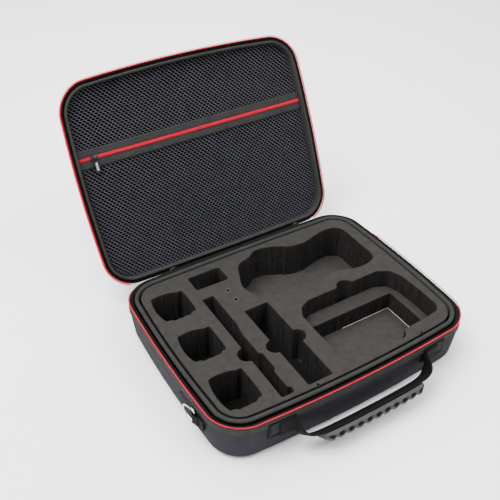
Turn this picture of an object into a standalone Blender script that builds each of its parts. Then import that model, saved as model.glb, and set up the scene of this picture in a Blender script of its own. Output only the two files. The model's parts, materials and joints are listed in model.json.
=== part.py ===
"""Padded carrying case for a folding camera drone, standing open.

Frame: +Z up, +X along the lid's hinge (length), +Y to the rear. The origin is the centre of the
flat underside. Every solid is in metres. The lid is modelled closed, around an empty on the hinge
axis, and that empty then turns it to its open rest angle.
"""

import math

import bmesh
import bpy
import numpy as np
from mathutils import Vector

MM = 0.001
GAP = 0.3 * MM  # between touching pieces

# Plan outline of the case, shared by the tray and the lid.
HALF_LENGTH = 175 * MM
HALF_DEPTH = 135 * MM
CORNER_R = 38 * MM
SIDE_BOW = 5.5 * MM
FRONT_BOW = 8 * MM
REAR_BOW = 2 * MM
CORNER_STEPS = 7
SIDE_STEPS = 6

# Heights. The parting plane between tray and lid is where the two zipper coils meet.
PARTING_Z = 62 * MM
LID_HEIGHT = 40 * MM
WALL = 5 * MM
FLOOR = 4 * MM

# Rim, as distances down from the parting plane on the tray and up from it on the lid.
COIL_R = 1.4 * MM
COIL_INSET = 1.9 * MM
COIL_DROP = 1.6 * MM
COIL_GAP_HALF = 92 * MM  # the coils stop this far from the centre of the rear edge
TAPE_TOP = 3.3 * MM
SHELL_TOP = 6.5 * MM
BINDING_TOP = 0.6 * MM
BINDING_OUT = 4.4 * MM
TRAY_BINDING_IN = 12.6 * MM
LID_BINDING_IN = 9.8 * MM
BINDING_LEG = 14 * MM

# Foam.
FOAM_INSET = 14.8 * MM
PAD_INSET = 15 * MM
PAD_TOP = 9.3 * MM
FOAM_TOP = PARTING_Z - 1.6 * MM
SHELF_TOP = PARTING_Z - 26 * MM

# Lid hinge: a wide fabric strip down the rear, which folds about a line well below the parting plane.
HINGE_DROP = 22 * MM
HINGE_Y = HALF_DEPTH + REAR_BOW + 3 * MM
HINGE_Z = PARTING_Z - HINGE_DROP
LID_OPEN = math.radians(116)
STRIP_HALF = 88 * MM
STRIP_THICK = 1.0 * MM
STRIP_BELOW = 15 * MM  # sewn to the tray, below the fold
STRIP_ABOVE = 17 * MM  # sewn to the lid, above the parting plane
FOLD_R = 1.3 * MM

# Mesh pocket in the lid. Heights are above the parting plane, in the closed lid.
MESH_LOW = 9 * MM
MESH_THICK = 1.0 * MM
MESH_INSET = 10.3 * MM
POCKET_Y = -41 * MM
POCKET_COIL_HALF = 2.2 * MM
POCKET_TAPE_WIDTH = 9.5 * MM
POCKET_TAPE_LOW = 7.4 * MM
POCKET_TAPE_THICK = 1.2 * MM
POCKET_END = 165 * MM
POCKET_SLIDER_X = -149 * MM

# Carrying handle.
HANDLE_PIVOT_Y = -(HALF_DEPTH + FRONT_BOW * 0.74) - 4.2 * MM
HANDLE_PIVOT_Z = PARTING_Z - 20 * MM
HANDLE_DROOP = math.radians(45)
PATCH_NEAR = 90 * MM
PATCH_FAR = 126 * MM
PATCH_HEIGHT = 25 * MM
PATCH_THICK = 1.6 * MM
STRAP_THICK = 2.6 * MM
STRAP_WIDTH = 22 * MM
GRIP_HALF = 70 * MM
GRIP_THICK = 11.6 * MM
GRIP_WIDTH = 24 * MM
GRIP_BUMPS = 11

# D-rings on the end walls.
RING_Y = -80 * MM
RING_Z = PARTING_Z - 22 * MM
RING_WIRE_R = 1.5 * MM
RING_HALF = 11 * MM
RING_REACH = 21 * MM
RING_SPLAY = math.radians(8)
TAB_HALF = 7.5 * MM
TAB_LENGTH = 16 * MM

# Main zipper sliders, parked on the rear wall at the ends of the coils.
SLIDER_X = 98 * MM


def clear_scene():
    for obj in list(bpy.data.objects):
        bpy.data.objects.remove(obj, do_unlink=True)


def make_material(name, colour, roughness, metallic=0.0):
    material = bpy.data.materials.new(name)
    material.use_nodes = True
    shader = material.node_tree.nodes["Principled BSDF"]
    shader.inputs["Base Color"].default_value = (*colour, 1.0)
    shader.inputs["Roughness"].default_value = roughness
    shader.inputs["Metallic"].default_value = metallic
    material.diffuse_color = (*colour, 1.0)
    return material


def make_object(name, bm, material, smooth_angle=None, parent=None, helper=False):
    """Turns the bmesh into a named object, with its faces pointing out."""
    bmesh.ops.recalc_face_normals(bm, faces=bm.faces)
    mesh = bpy.data.meshes.new(name)
    bm.to_mesh(mesh)
    bm.free()
    obj = bpy.data.objects.new(name, mesh)
    bpy.context.scene.collection.objects.link(obj)
    if material:
        mesh.materials.append(material)
    if smooth_angle is not None:
        mesh.shade_smooth()
        mesh.set_sharp_from_angle(angle=math.radians(smooth_angle))
    obj.parent = parent
    if helper:
        obj.hide_render = True
        obj.display_type = "WIRE"
    return obj


def make_empty(name, location, rotation=(0, 0, 0), parent=None):
    empty = bpy.data.objects.new(name, None)
    bpy.context.scene.collection.objects.link(empty)
    empty.location = location
    empty.rotation_euler = rotation
    empty.parent = parent
    return empty


def boolean(obj, tool, operation="DIFFERENCE"):
    modifier = obj.modifiers.new(operation.title(), "BOOLEAN")
    modifier.operation = operation
    modifier.solver = "EXACT"
    modifier.object = tool


# ---------------------------------------------------------------- plan outline


def bowed(x, y, inset):
    """Moves a point of the plain rounded rectangle out by the bow of its side."""
    across = 1 - (x / (HALF_LENGTH - inset)) ** 2
    along = 1 - (y / (HALF_DEPTH - inset)) ** 2
    bow = REAR_BOW if y > 0 else FRONT_BOW
    return (
        x * (1 + SIDE_BOW / HALF_LENGTH * along),
        y * (1 + bow / HALF_DEPTH * across),
    )


def plan_path(inset, rear_gap=0.0):
    """Points round the case from the rear edge at -rear_gap, by the front, to +rear_gap."""
    half_x = HALF_LENGTH - inset
    half_y = HALF_DEPTH - inset
    radius = max(CORNER_R - inset, 4 * MM)
    flat_x, flat_y = half_x - radius, half_y - radius
    path = [(x, half_y) for x in np.linspace(-rear_gap, -flat_x, SIDE_STEPS)[:-1]]
    for sign_x, sign_y, start in ((-1, 1, 90), (-1, -1, 180), (1, -1, 270), (1, 1, 0)):
        for step in range(CORNER_STEPS + 1):
            angle = math.radians(start + 90 * step / CORNER_STEPS)
            path.append(
                (sign_x * flat_x + radius * math.cos(angle), sign_y * flat_y + radius * math.sin(angle))
            )
        if (sign_x, sign_y) == (-1, 1):
            path += [(-half_x, y) for y in np.linspace(flat_y, -flat_y, SIDE_STEPS)[1:-1]]
        elif (sign_x, sign_y) == (-1, -1):
            path += [(x, -half_y) for x in np.linspace(-flat_x, flat_x, 2 * SIDE_STEPS)[1:-1]]
        elif (sign_x, sign_y) == (1, -1):
            path += [(half_x, y) for y in np.linspace(-flat_y, flat_y, SIDE_STEPS)[1:-1]]
    path += [(x, half_y) for x in np.linspace(flat_x, rear_gap, SIDE_STEPS)[1:]]
    if rear_gap == 0:
        path.pop()
    return [bowed(x, y, inset) for x, y in path]


def front_y(x):
    """The front wall's outer face at this distance along the case."""
    return bowed(x, -HALF_DEPTH, 0)[1]


def side_x(y):
    """The end wall's outer face, on the right."""
    return bowed(HALF_LENGTH, y, 0)[0]


# ---------------------------------------------------------------- mesh builders


def ring_faces(bm, first, second, closed=True):
    count = len(first)
    for i in range(count if closed else count - 1):
        j = (i + 1) % count
        bm.faces.new((first[i], first[j], second[j], second[i]))


def stacked(profile):
    """A solid lofted through plan outlines: profile is (inset, z) from one capped end to the other."""
    bm = bmesh.new()
    rings = []
    for inset, z in profile:
        rings.append([bm.verts.new((x, y, z)) for x, y in plan_path(inset)])
    for lower, upper in zip(rings, rings[1:]):
        ring_faces(bm, lower, upper)
    bm.faces.new(rings[0])
    bm.faces.new(rings[-1])
    return bm


def swept(section, rear_gap=0.0):
    """A closed section of (inset, z) points swept round the plan outline."""
    bm = bmesh.new()
    rails = []
    for inset, z in section:
        rails.append([bm.verts.new((x, y, z)) for x, y in plan_path(inset, rear_gap)])
    for i, rail in enumerate(rails):
        ring_faces(bm, rail, rails[(i + 1) % len(rails)], closed=rear_gap == 0)
    if rear_gap:
        bm.faces.new([rail[0] for rail in rails])
        bm.faces.new([rail[-1] for rail in rails])
    return bm


def prism(points, low, high):
    """An upright prism on a plan polygon."""
    bm = bmesh.new()
    bottom = [bm.verts.new((x, y, low)) for x, y in points]
    top = [bm.verts.new((x, y, high)) for x, y in points]
    ring_faces(bm, bottom, top)
    bm.faces.new(bottom)
    bm.faces.new(top)
    return bm


def box(low, high):
    corners = [(low[0], low[1]), (high[0], low[1]), (high[0], high[1]), (low[0], high[1])]
    return prism(corners, low[2], high[2])


def loft(sections):
    """A solid through a list of equal closed sections of 3-D points."""
    bm = bmesh.new()
    rings = [[bm.verts.new(point) for point in section] for section in sections]
    for one, other in zip(rings, rings[1:]):
        ring_faces(bm, one, other)
    bm.faces.new(rings[0])
    bm.faces.new(rings[-1])
    return bm


def clipped(bm, y, keep):
    """Cuts the solid at this y and keeps the front (-1) or the rear (1) side."""
    bmesh.ops.bisect_plane(
        bm,
        geom=bm.verts[:] + bm.edges[:] + bm.faces[:],
        plane_co=(0, y, 0),
        plane_no=(0, -keep, 0),
        clear_outer=True,
    )
    bmesh.ops.holes_fill(bm, edges=[edge for edge in bm.edges if edge.is_boundary])
    return bm


def arc_points(centre, radius, start, end, steps):
    angles = np.radians(np.linspace(start, end, steps + 1))
    return [(centre[0] + radius * math.cos(a), centre[1] + radius * math.sin(a)) for a in angles]


def smooth_path(points, steps):
    """Points on a Catmull-Rom curve through the given open list."""
    knots = [Vector(p) for p in points]
    knots = [2 * knots[0] - knots[1]] + knots + [2 * knots[-1] - knots[-2]]
    result = []
    for a, b, c, d in zip(knots, knots[1:], knots[2:], knots[3:]):
        for step in range(steps):
            t = step / steps
            result.append(
                0.5 * (2 * b + (c - a) * t + (2 * a - 5 * b + 4 * c - d) * t**2 + (3 * b - a - 3 * c + d) * t**3)
            )
    result.append(knots[-2])
    return result


def closed_curve_points(points, steps):
    """Plan points on a closed Catmull-Rom curve through the given list."""
    count = len(points)
    knots = [Vector(p) for p in points]
    result = []
    for i in range(count):
        a, b, c, d = (knots[(i + k) % count] for k in (-1, 0, 1, 2))
        for step in range(steps):
            t = step / steps
            p = 0.5 * (2 * b + (c - a) * t + (2 * a - 5 * b + 4 * c - d) * t**2 + (3 * b - a - 3 * c + d) * t**3)
            result.append((p.x, p.y))
    return result


def tube(name, points, radius, material, parent=None, cyclic=False, resolution=2):
    """A wire: a poly curve with a round bevel."""
    data = bpy.data.curves.new(name, "CURVE")
    data.dimensions = "3D"
    data.bevel_depth = radius
    data.bevel_resolution = resolution
    data.use_fill_caps = True
    spline = data.splines.new("POLY")
    spline.points.add(len(points) - 1)
    for item, point in zip(spline.points, points):
        item.co = (*point, 1.0)
    spline.use_cyclic_u = cyclic
    spline.use_smooth = True
    obj = bpy.data.objects.new(name, data)
    bpy.context.scene.collection.objects.link(obj)
    data.materials.append(material)
    obj.parent = parent
    return obj


# ---------------------------------------------------------------- tray


def coil_section(drop_sign):
    centre_z = drop_sign * COIL_DROP
    return [
        (COIL_INSET + dx, centre_z + dz)
        for dx, dz in arc_points((0, 0), COIL_R, 0, 300, 5)
    ]


def raised(section, z):
    return [(inset, height + z) for inset, height in section]


def build_tray(fabric, tape, red, binding):
    shell = stacked(
        [
            (15 * MM, 0),
            (8 * MM, 1.6 * MM),
            (4.6 * MM, 5.5 * MM),
            (3.2 * MM, 12 * MM),
            (0, PARTING_Z - SHELL_TOP),
            (WALL, PARTING_Z - SHELL_TOP),
            (WALL + 3 * MM, 14 * MM),
            (WALL + 5 * MM, 7 * MM),
            (WALL + 9 * MM, FLOOR),
        ]
    )
    make_object("base_shell", shell, fabric, 45)
    outer = -0.5 * MM
    band = [(outer, -SHELL_TOP + GAP), (outer, -TAPE_TOP), (4.1 * MM, -TAPE_TOP), (4.1 * MM, -SHELL_TOP + GAP)]
    make_object("base_zipper_tape", swept(raised(band, PARTING_Z)), tape, 45)
    coil = swept(raised(coil_section(-1), PARTING_Z), COIL_GAP_HALF)
    make_object("base_zipper_coil", coil, red, 60)
    lip = [
        (BINDING_OUT, -SHELL_TOP + GAP),
        (BINDING_OUT, -BINDING_TOP),
        (TRAY_BINDING_IN, -BINDING_TOP),
        (TRAY_BINDING_IN, -BINDING_LEG),
        (WALL + 1.2 * MM, -BINDING_LEG),
        (WALL + 1.2 * MM, -SHELL_TOP + GAP),
    ]
    make_object("base_rim_binding", swept(raised(lip, PARTING_Z)), binding, 45)


# ---------------------------------------------------------------- foam


def battery_outline(x, y, half_y):
    """One battery well about its centre: bowed sides, and steps along the front edge."""
    half_x, bow = 20.5 * MM, 4 * MM
    steps = np.linspace(-1, 1, 5)
    front = [(half_x * 0.98 * s, -half_y + (2.2 * MM if abs(s) > 0.7 else -1.2 * MM)) for s in steps]
    right = [(half_x + bow * 0.2 * (1 - s**2), half_y * 0.9 * s) for s in steps[1:]]
    rear = [(half_x * s, half_y - 3 * MM * s + bow * (1 - s**2) - 3 * MM) for s in -steps[1:]]
    left = [(-half_x - bow * 0.9 * (1 - s**2), half_y * 0.92 * s) for s in -steps[1:-1]]
    return [(x + px, y + py) for px, py in front + right + rear + left]


def rounded_box_outline(low, high, radius, steps=3):
    points = []
    for cx, cy, start in (
        (high[0] - radius, high[1] - radius, 0),
        (low[0] + radius, high[1] - radius, 90),
        (low[0] + radius, low[1] + radius, 180),
        (high[0] - radius, low[1] + radius, 270),
    ):
        points += arc_points((cx, cy), radius, start, start + 90, steps)
    return points


def narrow_slot_outline():
    """Long slot for the remote's arms, with a finger notch on the left and small steps on the right."""
    left, right, rear, front = -95 * MM, -79.5 * MM, 63 * MM, -119.5 * MM
    notch = arc_points((left, -45 * MM), 11 * MM, 90, 270, 6)
    return (
        [(right, rear), (left, rear)]
        + notch
        + [(left, front), (right, front), (right + 1.5 * MM, front + 3 * MM), (right + 1.5 * MM, front + 8 * MM)]
        + [(right - 2.5 * MM, front + 9 * MM), (right - 2.5 * MM, -82 * MM), (right + 1 * MM, -80 * MM)]
        + [(right + 1 * MM, -53 * MM), (right - 3 * MM, -51 * MM), (right - 3 * MM, -14 * MM), (right, 4 * MM)]
    )


def wide_slot_outline():
    """Wide slot for a charger or cables, with a thumb notch on each side."""
    left, right, rear, front = -60 * MM, -27 * MM, 18 * MM, -120 * MM
    return (
        [(right, rear), (left, rear)]
        + arc_points((left, -51 * MM), 10.5 * MM, 90, 270, 6)
        + [(left, front), (right, front)]
        + arc_points((right, -50 * MM), 10 * MM, -90, 90, 6)
    )


def drone_outline():
    """Outline of a folded drone: nose at the left, body, arm bulges and the square tail."""
    knots = [
        (-38, 56), (-31, 78), (-20, 99), (0, 106), (10, 113), (24, 114), (44, 107), (62, 97),
        (84, 95), (104, 100), (124, 103), (141, 99), (147, 88), (147, 56), (147, 27),
        (138, 16), (118, 13), (100, 17), (86, 21), (66, 20), (46, 12), (28, 7), (12, 12),
        (0, 21.5), (-20, 24), (-29, 34),
    ]  # fmt: skip
    return closed_curve_points([(x * MM, y * MM) for x, y in knots], 2)


def controller_outline():
    """Outline of the remote controller's well, with a thumb notch front and rear."""
    left, right, rear, front = -4 * MM, 153 * MM, -6 * MM, -112 * MM
    notch_x, notch_r = 76 * MM, 12 * MM
    return (
        [(right - 24 * MM, rear), (notch_x + notch_r, rear)]
        + arc_points((notch_x, rear - 3 * MM), notch_r, 20, 160, 5)
        + [(notch_x - notch_r, rear), (left + 22 * MM, rear)]
        + [(left + 8 * MM, rear - 7 * MM), (left + 1 * MM, rear - 20 * MM), (left, rear - 48 * MM)]
        + [(left + 1 * MM, front + 14 * MM), (left + 9 * MM, front + 5 * MM), (left + 28 * MM, front)]
        + [(notch_x - notch_r, front + 1 * MM)]
        + arc_points((notch_x, front + 5 * MM), notch_r, 200, 340, 5)
        + [(notch_x + notch_r, front + 4 * MM), (right - 30 * MM, front + 6 * MM)]
        + [(right - 7 * MM, front + 9 * MM), (right - 1 * MM, front + 16 * MM), (right, rear - 60 * MM)]
        + [(right - 2 * MM, rear - 24 * MM), (right - 9 * MM, rear - 8 * MM)]
    )


def shelf_outline():
    """Step inside the controller's well, along its rear and right, in plan."""
    rear, front, left, right = -7 * MM, -105 * MM, -2 * MM, 150 * MM
    step_y, step_x = -29 * MM, 137 * MM
    return [
        (left + 8 * MM, rear - 8 * MM),
        (left + 1 * MM, rear - 20 * MM),
        (left + 1 * MM, step_y),
        (step_x, step_y),
        (step_x, front + 6 * MM),
        (right - 6 * MM, front + 7 * MM),
        (right - 1 * MM, front + 14 * MM),
        (right, rear - 60 * MM),
        (right - 2 * MM, rear - 24 * MM),
        (right - 9 * MM, rear - 9 * MM),
        (right - 24 * MM, rear - 1 * MM),
        (left + 22 * MM, rear - 1 * MM),
    ]


def foam_wells():
    """Name, outline and floor height of each well; the deep ones go right through the insert."""
    deep = {
        "battery_rear": battery_outline(-130 * MM, 72.5 * MM, 23.5 * MM),
        "battery_middle": battery_outline(-131 * MM, -3.5 * MM, 24 * MM),
        "battery_front": battery_outline(-132 * MM, -82.5 * MM, 26 * MM),
        "narrow_slot": narrow_slot_outline(),
        "wide_slot": wide_slot_outline(),
        "drone": drone_outline(),
        "controller": controller_outline(),
    }
    wells = [(name, outline, 0) for name, outline in deep.items()]
    accessory = rounded_box_outline((-92 * MM, 82 * MM), (-46 * MM, 109 * MM), 2.5 * MM)
    wells.append(("accessory", accessory, FOAM_TOP - 26 * MM))
    for name, y in (("pin_rear", 62 * MM), ("pin_front", 42 * MM)):
        wells.append((name, arc_points((-58 * MM, y), 2.2 * MM, 0, 315, 7), FOAM_TOP - 14 * MM))
    return wells


def foam_blocks():
    """The insert's six glued blocks in plan, and the wells in each."""
    left, middle, centre, right, far = -107.4 * MM, -74 * MM, -42 * MM, -10.5 * MM, 300 * MM
    slot_rear, charger_rear, controller_rear = 66 * MM, 20 * MM, 5 * MM
    corners = {
        "batteries": [(-far, -far), (left, -far), (left, far), (-far, far)],
        "slot": [(left, -far), (middle, -far), (middle, slot_rear), (left, slot_rear)],
        "charger": [(middle, -far), (right, -far), (right, charger_rear), (middle, charger_rear)],
        "accessory": [
            (left, slot_rear), (middle, slot_rear), (middle, charger_rear),
            (centre, charger_rear), (centre, far), (left, far),
        ],
        "drone": [
            (centre, charger_rear), (right, charger_rear), (right, controller_rear),
            (far, controller_rear), (far, far), (centre, far),
        ],
        "controller": [(right, -far), (far, -far), (far, controller_rear), (right, controller_rear)],
    }  # fmt: skip
    inside = {
        "batteries": ("battery_rear", "battery_middle", "battery_front"),
        "slot": ("narrow_slot",),
        "charger": ("wide_slot",),
        "accessory": ("accessory", "pin_rear", "pin_front"),
        "drone": ("drone",),
        "controller": ("controller",),
    }
    return [(name, shrunk(corners[name], GAP / 2), inside[name]) for name in corners]


def shrunk(points, distance):
    """A polygon with square corners, anticlockwise, moved in by this distance."""
    result = []
    for before, point, after in zip(points[-1:] + points[:-1], points, points[1:] + points[:1]):
        arrive = Vector((point[0] - before[0], point[1] - before[1])).normalized()
        leave = Vector((after[0] - point[0], after[1] - point[1])).normalized()
        inward = Vector((-arrive.y - leave.y, arrive.x + leave.x))
        result.append((point[0] + distance * inward.x, point[1] + distance * inward.y))
    return result


def build_foam(foam, pad):
    wells = {name: (outline, low) for name, outline, low in foam_wells()}
    for name, corners, inside in foam_blocks():
        slab = stacked([(FOAM_INSET, PAD_TOP + GAP), (FOAM_INSET, FOAM_TOP)])
        block = make_object(f"foam_{name}", slab, foam)
        region = make_object(f"cut_region_{name}", prism(corners, 0, PARTING_Z), None, helper=True)
        boolean(block, region, "INTERSECT")
        for well in inside:
            outline, low = wells[well]
            cutter = prism(outline, low, FOAM_TOP + 10 * MM)
            boolean(block, make_object(f"cut_{well}", cutter, None, helper=True))
    make_object("foam_floor_pad", stacked([(PAD_INSET, FLOOR + GAP), (PAD_INSET, PAD_TOP)]), pad)
    make_object("controller_shelf", prism(shelf_outline(), PAD_TOP + GAP, SHELF_TOP), foam)


# ---------------------------------------------------------------- lid


def build_lid(fabric, tape, red, binding, mesh_fabric, hinge):
    """The closed lid. Heights are above the parting plane, and the last loop moves it to the hinge's frame."""
    roof = LID_HEIGHT
    shell = stacked(
        [
            (17 * MM, roof),
            (9 * MM, roof - 1.8 * MM),
            (5 * MM, roof - 6 * MM),
            (3 * MM, roof - 12 * MM),
            (0, SHELL_TOP),
            (WALL, SHELL_TOP),
            (WALL + 3 * MM, roof - 14 * MM),
            (WALL + 6 * MM, roof - 7 * MM),
            (WALL + 11 * MM, roof - FLOOR),
        ]
    )
    outer = -0.5 * MM
    band = [(outer, SHELL_TOP - GAP), (outer, TAPE_TOP), (4.1 * MM, TAPE_TOP), (4.1 * MM, SHELL_TOP - GAP)]
    lip = [
        (BINDING_OUT, SHELL_TOP - GAP),
        (BINDING_OUT, BINDING_TOP),
        (LID_BINDING_IN, BINDING_TOP),
        (LID_BINDING_IN, BINDING_LEG),
        (WALL + 1.8 * MM, BINDING_LEG),
        (WALL + 1.8 * MM, SHELL_TOP - GAP),
    ]
    half_tape = POCKET_COIL_HALF + GAP
    far_tape = half_tape + POCKET_TAPE_WIDTH
    tape_box = (POCKET_TAPE_LOW, POCKET_TAPE_LOW + POCKET_TAPE_THICK)
    panel = [(MESH_INSET, MESH_LOW), (MESH_INSET, MESH_LOW + MESH_THICK)]
    pieces = (
        ("lid_shell", shell, fabric, 45),
        ("lid_zipper_tape", swept(band), tape, 45),
        ("lid_zipper_coil", swept(coil_section(1), COIL_GAP_HALF), red, 60),
        ("lid_rim_binding", swept(lip), binding, 45),
        ("mesh_panel_front", clipped(stacked(panel), POCKET_Y - half_tape, -1), mesh_fabric, None),
        ("mesh_panel_rear", clipped(stacked(panel), POCKET_Y + half_tape, 1), mesh_fabric, None),
        (
            "pocket_tape_front",
            box((-POCKET_END, POCKET_Y - far_tape, tape_box[0]), (POCKET_END, POCKET_Y - half_tape, tape_box[1])),
            tape,
            None,
        ),
        (
            "pocket_tape_rear",
            box((-POCKET_END, POCKET_Y + half_tape, tape_box[0]), (POCKET_END, POCKET_Y + far_tape, tape_box[1])),
            tape,
            None,
        ),
        (
            "pocket_zipper_coil",
            box(
                (-POCKET_END, POCKET_Y - POCKET_COIL_HALF, tape_box[0] - 0.4 * MM),
                (POCKET_END, POCKET_Y + POCKET_COIL_HALF, tape_box[1] + 0.4 * MM),
            ),
            red,
            None,
        ),
    )
    for name, bm, material, smooth in pieces:
        for vert in bm.verts:
            vert.co.y -= HINGE_Y
            vert.co.z += HINGE_DROP
        make_object(name, bm, material, smooth, hinge)


# ---------------------------------------------------------------- zippers


def build_slider(name, material, parent):
    """A zipper slider about its pull's pivot: travel along X, coil side at +Y, pull side at -Y."""
    body = make_object(
        name, box((-5 * MM, 1.4 * MM, -3.6 * MM), (5 * MM, 3.4 * MM, 3.6 * MM)), material, parent=parent
    )
    outer, inner = 3.3 * MM, 2.5 * MM
    arch = []
    for angle in np.linspace(0, 180, 9):
        a = math.radians(angle)
        rim = [(1.4 * MM, outer), (1.4 * MM, inner), (-1.4 * MM, inner), (-1.4 * MM, outer)]
        arch.append([(x, 1.5 * MM - r * math.sin(a), r * math.cos(a)) for x, r in rim])
    bridge = make_object(f"cut_{name}_bridge", loft(arch), None, parent=parent, helper=True)
    boolean(body, bridge, "UNION")
    return body


def build_pull(name, material, parent, length):
    """A zipper pull hanging along -Z from its eye, which turns about X inside the slider's bridge."""
    half = 2.7 * MM
    plate = box((-half, -0.7 * MM, -length), (half, 0.7 * MM, 0.6 * MM))
    pull = make_object(name, plate, material, parent=parent)
    window = make_object(
        f"cut_{name}_window",
        box((-1.75 * MM, -3 * MM, -5.2 * MM), (1.75 * MM, 3 * MM, -0.7 * MM)),
        None,
        parent=parent,
        helper=True,
    )
    boolean(pull, window)
    return pull


def build_zipper_hardware(metal, dark_metal, hinge):
    face = POCKET_TAPE_LOW - 0.4 * MM
    pivot = make_empty(
        "pocket_pull_pivot",
        (POCKET_SLIDER_X, POCKET_Y - HINGE_Y, HINGE_DROP + face - 3.6 * MM),
        (math.radians(90), 0, 0),
        hinge,
    )
    build_slider("pocket_slider", dark_metal, pivot)
    build_pull("pocket_pull", metal, pivot, 19 * MM)
    rear_y = HALF_DEPTH + REAR_BOW * (1 - (SLIDER_X / HALF_LENGTH) ** 2)
    for side, sign in (("left", -1), ("right", 1)):
        pivot = make_empty(
            f"main_pull_pivot_{side}",
            (sign * SLIDER_X, rear_y + 4.3 * MM, PARTING_Z - 5.2 * MM),
            (0, 0, math.radians(180)),
        )
        build_slider(f"main_slider_{side}", dark_metal, pivot)
        build_pull(f"main_pull_{side}", metal, pivot, 26 * MM)


# ---------------------------------------------------------------- hinge strip


def build_hinge_strip(webbing, hinge):
    """The fabric that joins lid and tray: a flap on the tray up to the fold, and a flap on the lid."""
    wall_y = HALF_DEPTH + REAR_BOW + 0.9 * MM
    low, neck = HINGE_Z - STRIP_BELOW, HINGE_Z - 3 * MM
    profile = [(wall_y, low), (wall_y + STRIP_THICK, low), (wall_y + STRIP_THICK, neck)]
    profile += [(HINGE_Y - 0.4 * MM, HINGE_Z - FOLD_R)]
    profile += arc_points((HINGE_Y, HINGE_Z), FOLD_R, -80, 60, 5)
    profile += [(wall_y + 0.6 * MM, HINGE_Z - 0.2 * MM), (wall_y, neck)]
    sections = [[(x, y, z) for y, z in profile] for x in (-STRIP_HALF, STRIP_HALF)]
    make_object("hinge_strip", loft(sections), webbing)
    flap_y = wall_y - HINGE_Y
    flap = box(
        (-STRIP_HALF, flap_y, 3.2 * MM), (STRIP_HALF, flap_y + STRIP_THICK, HINGE_DROP + STRIP_ABOVE)
    )
    make_object("hinge_strip_lid_flap", flap, webbing, parent=hinge)


# ---------------------------------------------------------------- handle


def handle_path():
    """Centre line of the strap in its own plane: (x, distance out from the pivot line)."""
    half = [(-92, 0), (-92, 5), (-90, 11), (-85, 16.5), (-76, 19.5), (-60, 21), (-30, 21.8)]
    knots = half + [(0, 22)] + [(-x, out) for x, out in reversed(half)]
    return smooth_path([(x * MM, out * MM, 0) for x, out in knots], 2)


def strap_sections(path):
    sections = []
    for i, point in enumerate(path):
        ahead = path[min(i + 1, len(path) - 1)] - path[max(i - 1, 0)]
        normal = Vector((-ahead.y, ahead.x, 0)).normalized() * STRAP_THICK / 2
        half = min(STRAP_WIDTH / 2, 1.8 * MM + 0.7 * point.y)
        corners = ((normal, -half), (normal, half), (-normal, half), (-normal, -half))
        sections.append([(point.x + n.x, -(point.y + n.y), v) for n, v in corners])
    return sections


def build_handle(webbing, rubber, patch_fabric, pivot):
    path = handle_path()
    make_object("handle_strap", loft(strap_sections(path)), webbing, 40, pivot)
    path_x = [point.x for point in path]
    path_out = [point.y for point in path]
    sections = []
    steps = 4 * GRIP_BUMPS
    for step in range(steps + 1):
        x = GRIP_HALF * (2 * step / steps - 1)
        end = min(1.0, (GRIP_HALF - abs(x)) / (10 * MM) + 0.45)
        inner = np.interp(x, path_x, path_out) + STRAP_THICK / 2 + 0.6 * MM
        bump = 0.8 * MM * math.cos(math.pi * GRIP_BUMPS * x / GRIP_HALF)
        outer = inner + GRIP_THICK * end + bump
        half = GRIP_WIDTH / 2 * (0.7 + 0.3 * end)
        rim = [(inner, -half), (inner, half), (inner + 0.55 * (outer - inner), half), (outer, half * 0.6)]
        rim += [(outer, -half * 0.6), (inner + 0.55 * (outer - inner), -half)]
        sections.append([(x, -out, v) for out, v in rim])
    make_object("handle_grip", loft(sections), rubber, 50, pivot)
    for side, sign in (("left", -1), ("right", 1)):
        stations = np.linspace(PATCH_NEAR, PATCH_FAR, 5)
        near = [(sign * x, front_y(x) - 0.4 * MM) for x in stations]
        far = [(x, y - PATCH_THICK) for x, y in reversed(near)]
        low, high = HANDLE_PIVOT_Z - PATCH_HEIGHT / 2, HANDLE_PIVOT_Z + PATCH_HEIGHT / 2
        patch = prism(near + far, low, high)
        make_object(f"handle_patch_{side}", patch, patch_fabric)


# ---------------------------------------------------------------- D-rings


def ring_points():
    """The D in its own plane: straight bar on the pivot line, round side reaching along +Y."""
    reach = RING_REACH
    bar = [(0, 0, z) for z in np.linspace(-RING_HALF + 2 * MM, RING_HALF - 2 * MM, 5)]
    bow = []
    for angle in np.linspace(72, -72, 15):
        a = math.radians(angle)
        bow.append((0, reach * (math.cos(a) - 0.31) / 0.69, RING_HALF * math.sin(a) / 0.951))
    return bar + bow


def build_side_ring(side, sign, webbing, patch_fabric, metal):
    wall = side_x(RING_Y)
    bar_x = wall + 4.0 * MM
    pivot = make_empty(f"ring_pivot_{side}", (sign * bar_x, RING_Y, RING_Z), (0, 0, -sign * RING_SPLAY))
    tube(f"d_ring_{side}", ring_points(), RING_WIRE_R, metal, pivot, cyclic=True)
    eye_out, eye_in = 3.2 * MM, 2.0 * MM
    tail = 1.4 * MM
    start = RING_Y - TAB_LENGTH
    profile = arc_points((bar_x, RING_Y), eye_out, -60, 180, 8)
    profile += [(bar_x - eye_out, RING_Y - 3 * MM)]
    profile += [(side_x(start) + 0.5 * MM, start), (side_x(start) + 0.5 * MM + 2 * tail, start)]
    outline = [(sign * x, y) for x, y in profile]
    tab = make_object(f"ring_tab_{side}", prism(outline, RING_Z - TAB_HALF, RING_Z + TAB_HALF), webbing)
    hole = [(sign * x, y) for x, y in arc_points((bar_x, RING_Y), eye_in, 0, 330, 11)]
    cutter = make_object(
        f"cut_tab_eye_{side}", prism(hole, RING_Z - 2 * TAB_HALF, RING_Z + 2 * TAB_HALF), None, helper=True
    )
    boolean(tab, cutter)
    ys = np.linspace(RING_Y + 6 * MM, RING_Y + 40 * MM, 5)
    near = [(sign * (side_x(y) + 0.2 * MM), y) for y in ys]
    far = [(x + sign * 1.2 * MM, y) for x, y in reversed(near)]
    patch = prism(near + far, RING_Z - 12 * MM, RING_Z + 6 * MM)
    make_object(f"ring_patch_{side}", patch, patch_fabric)


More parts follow.
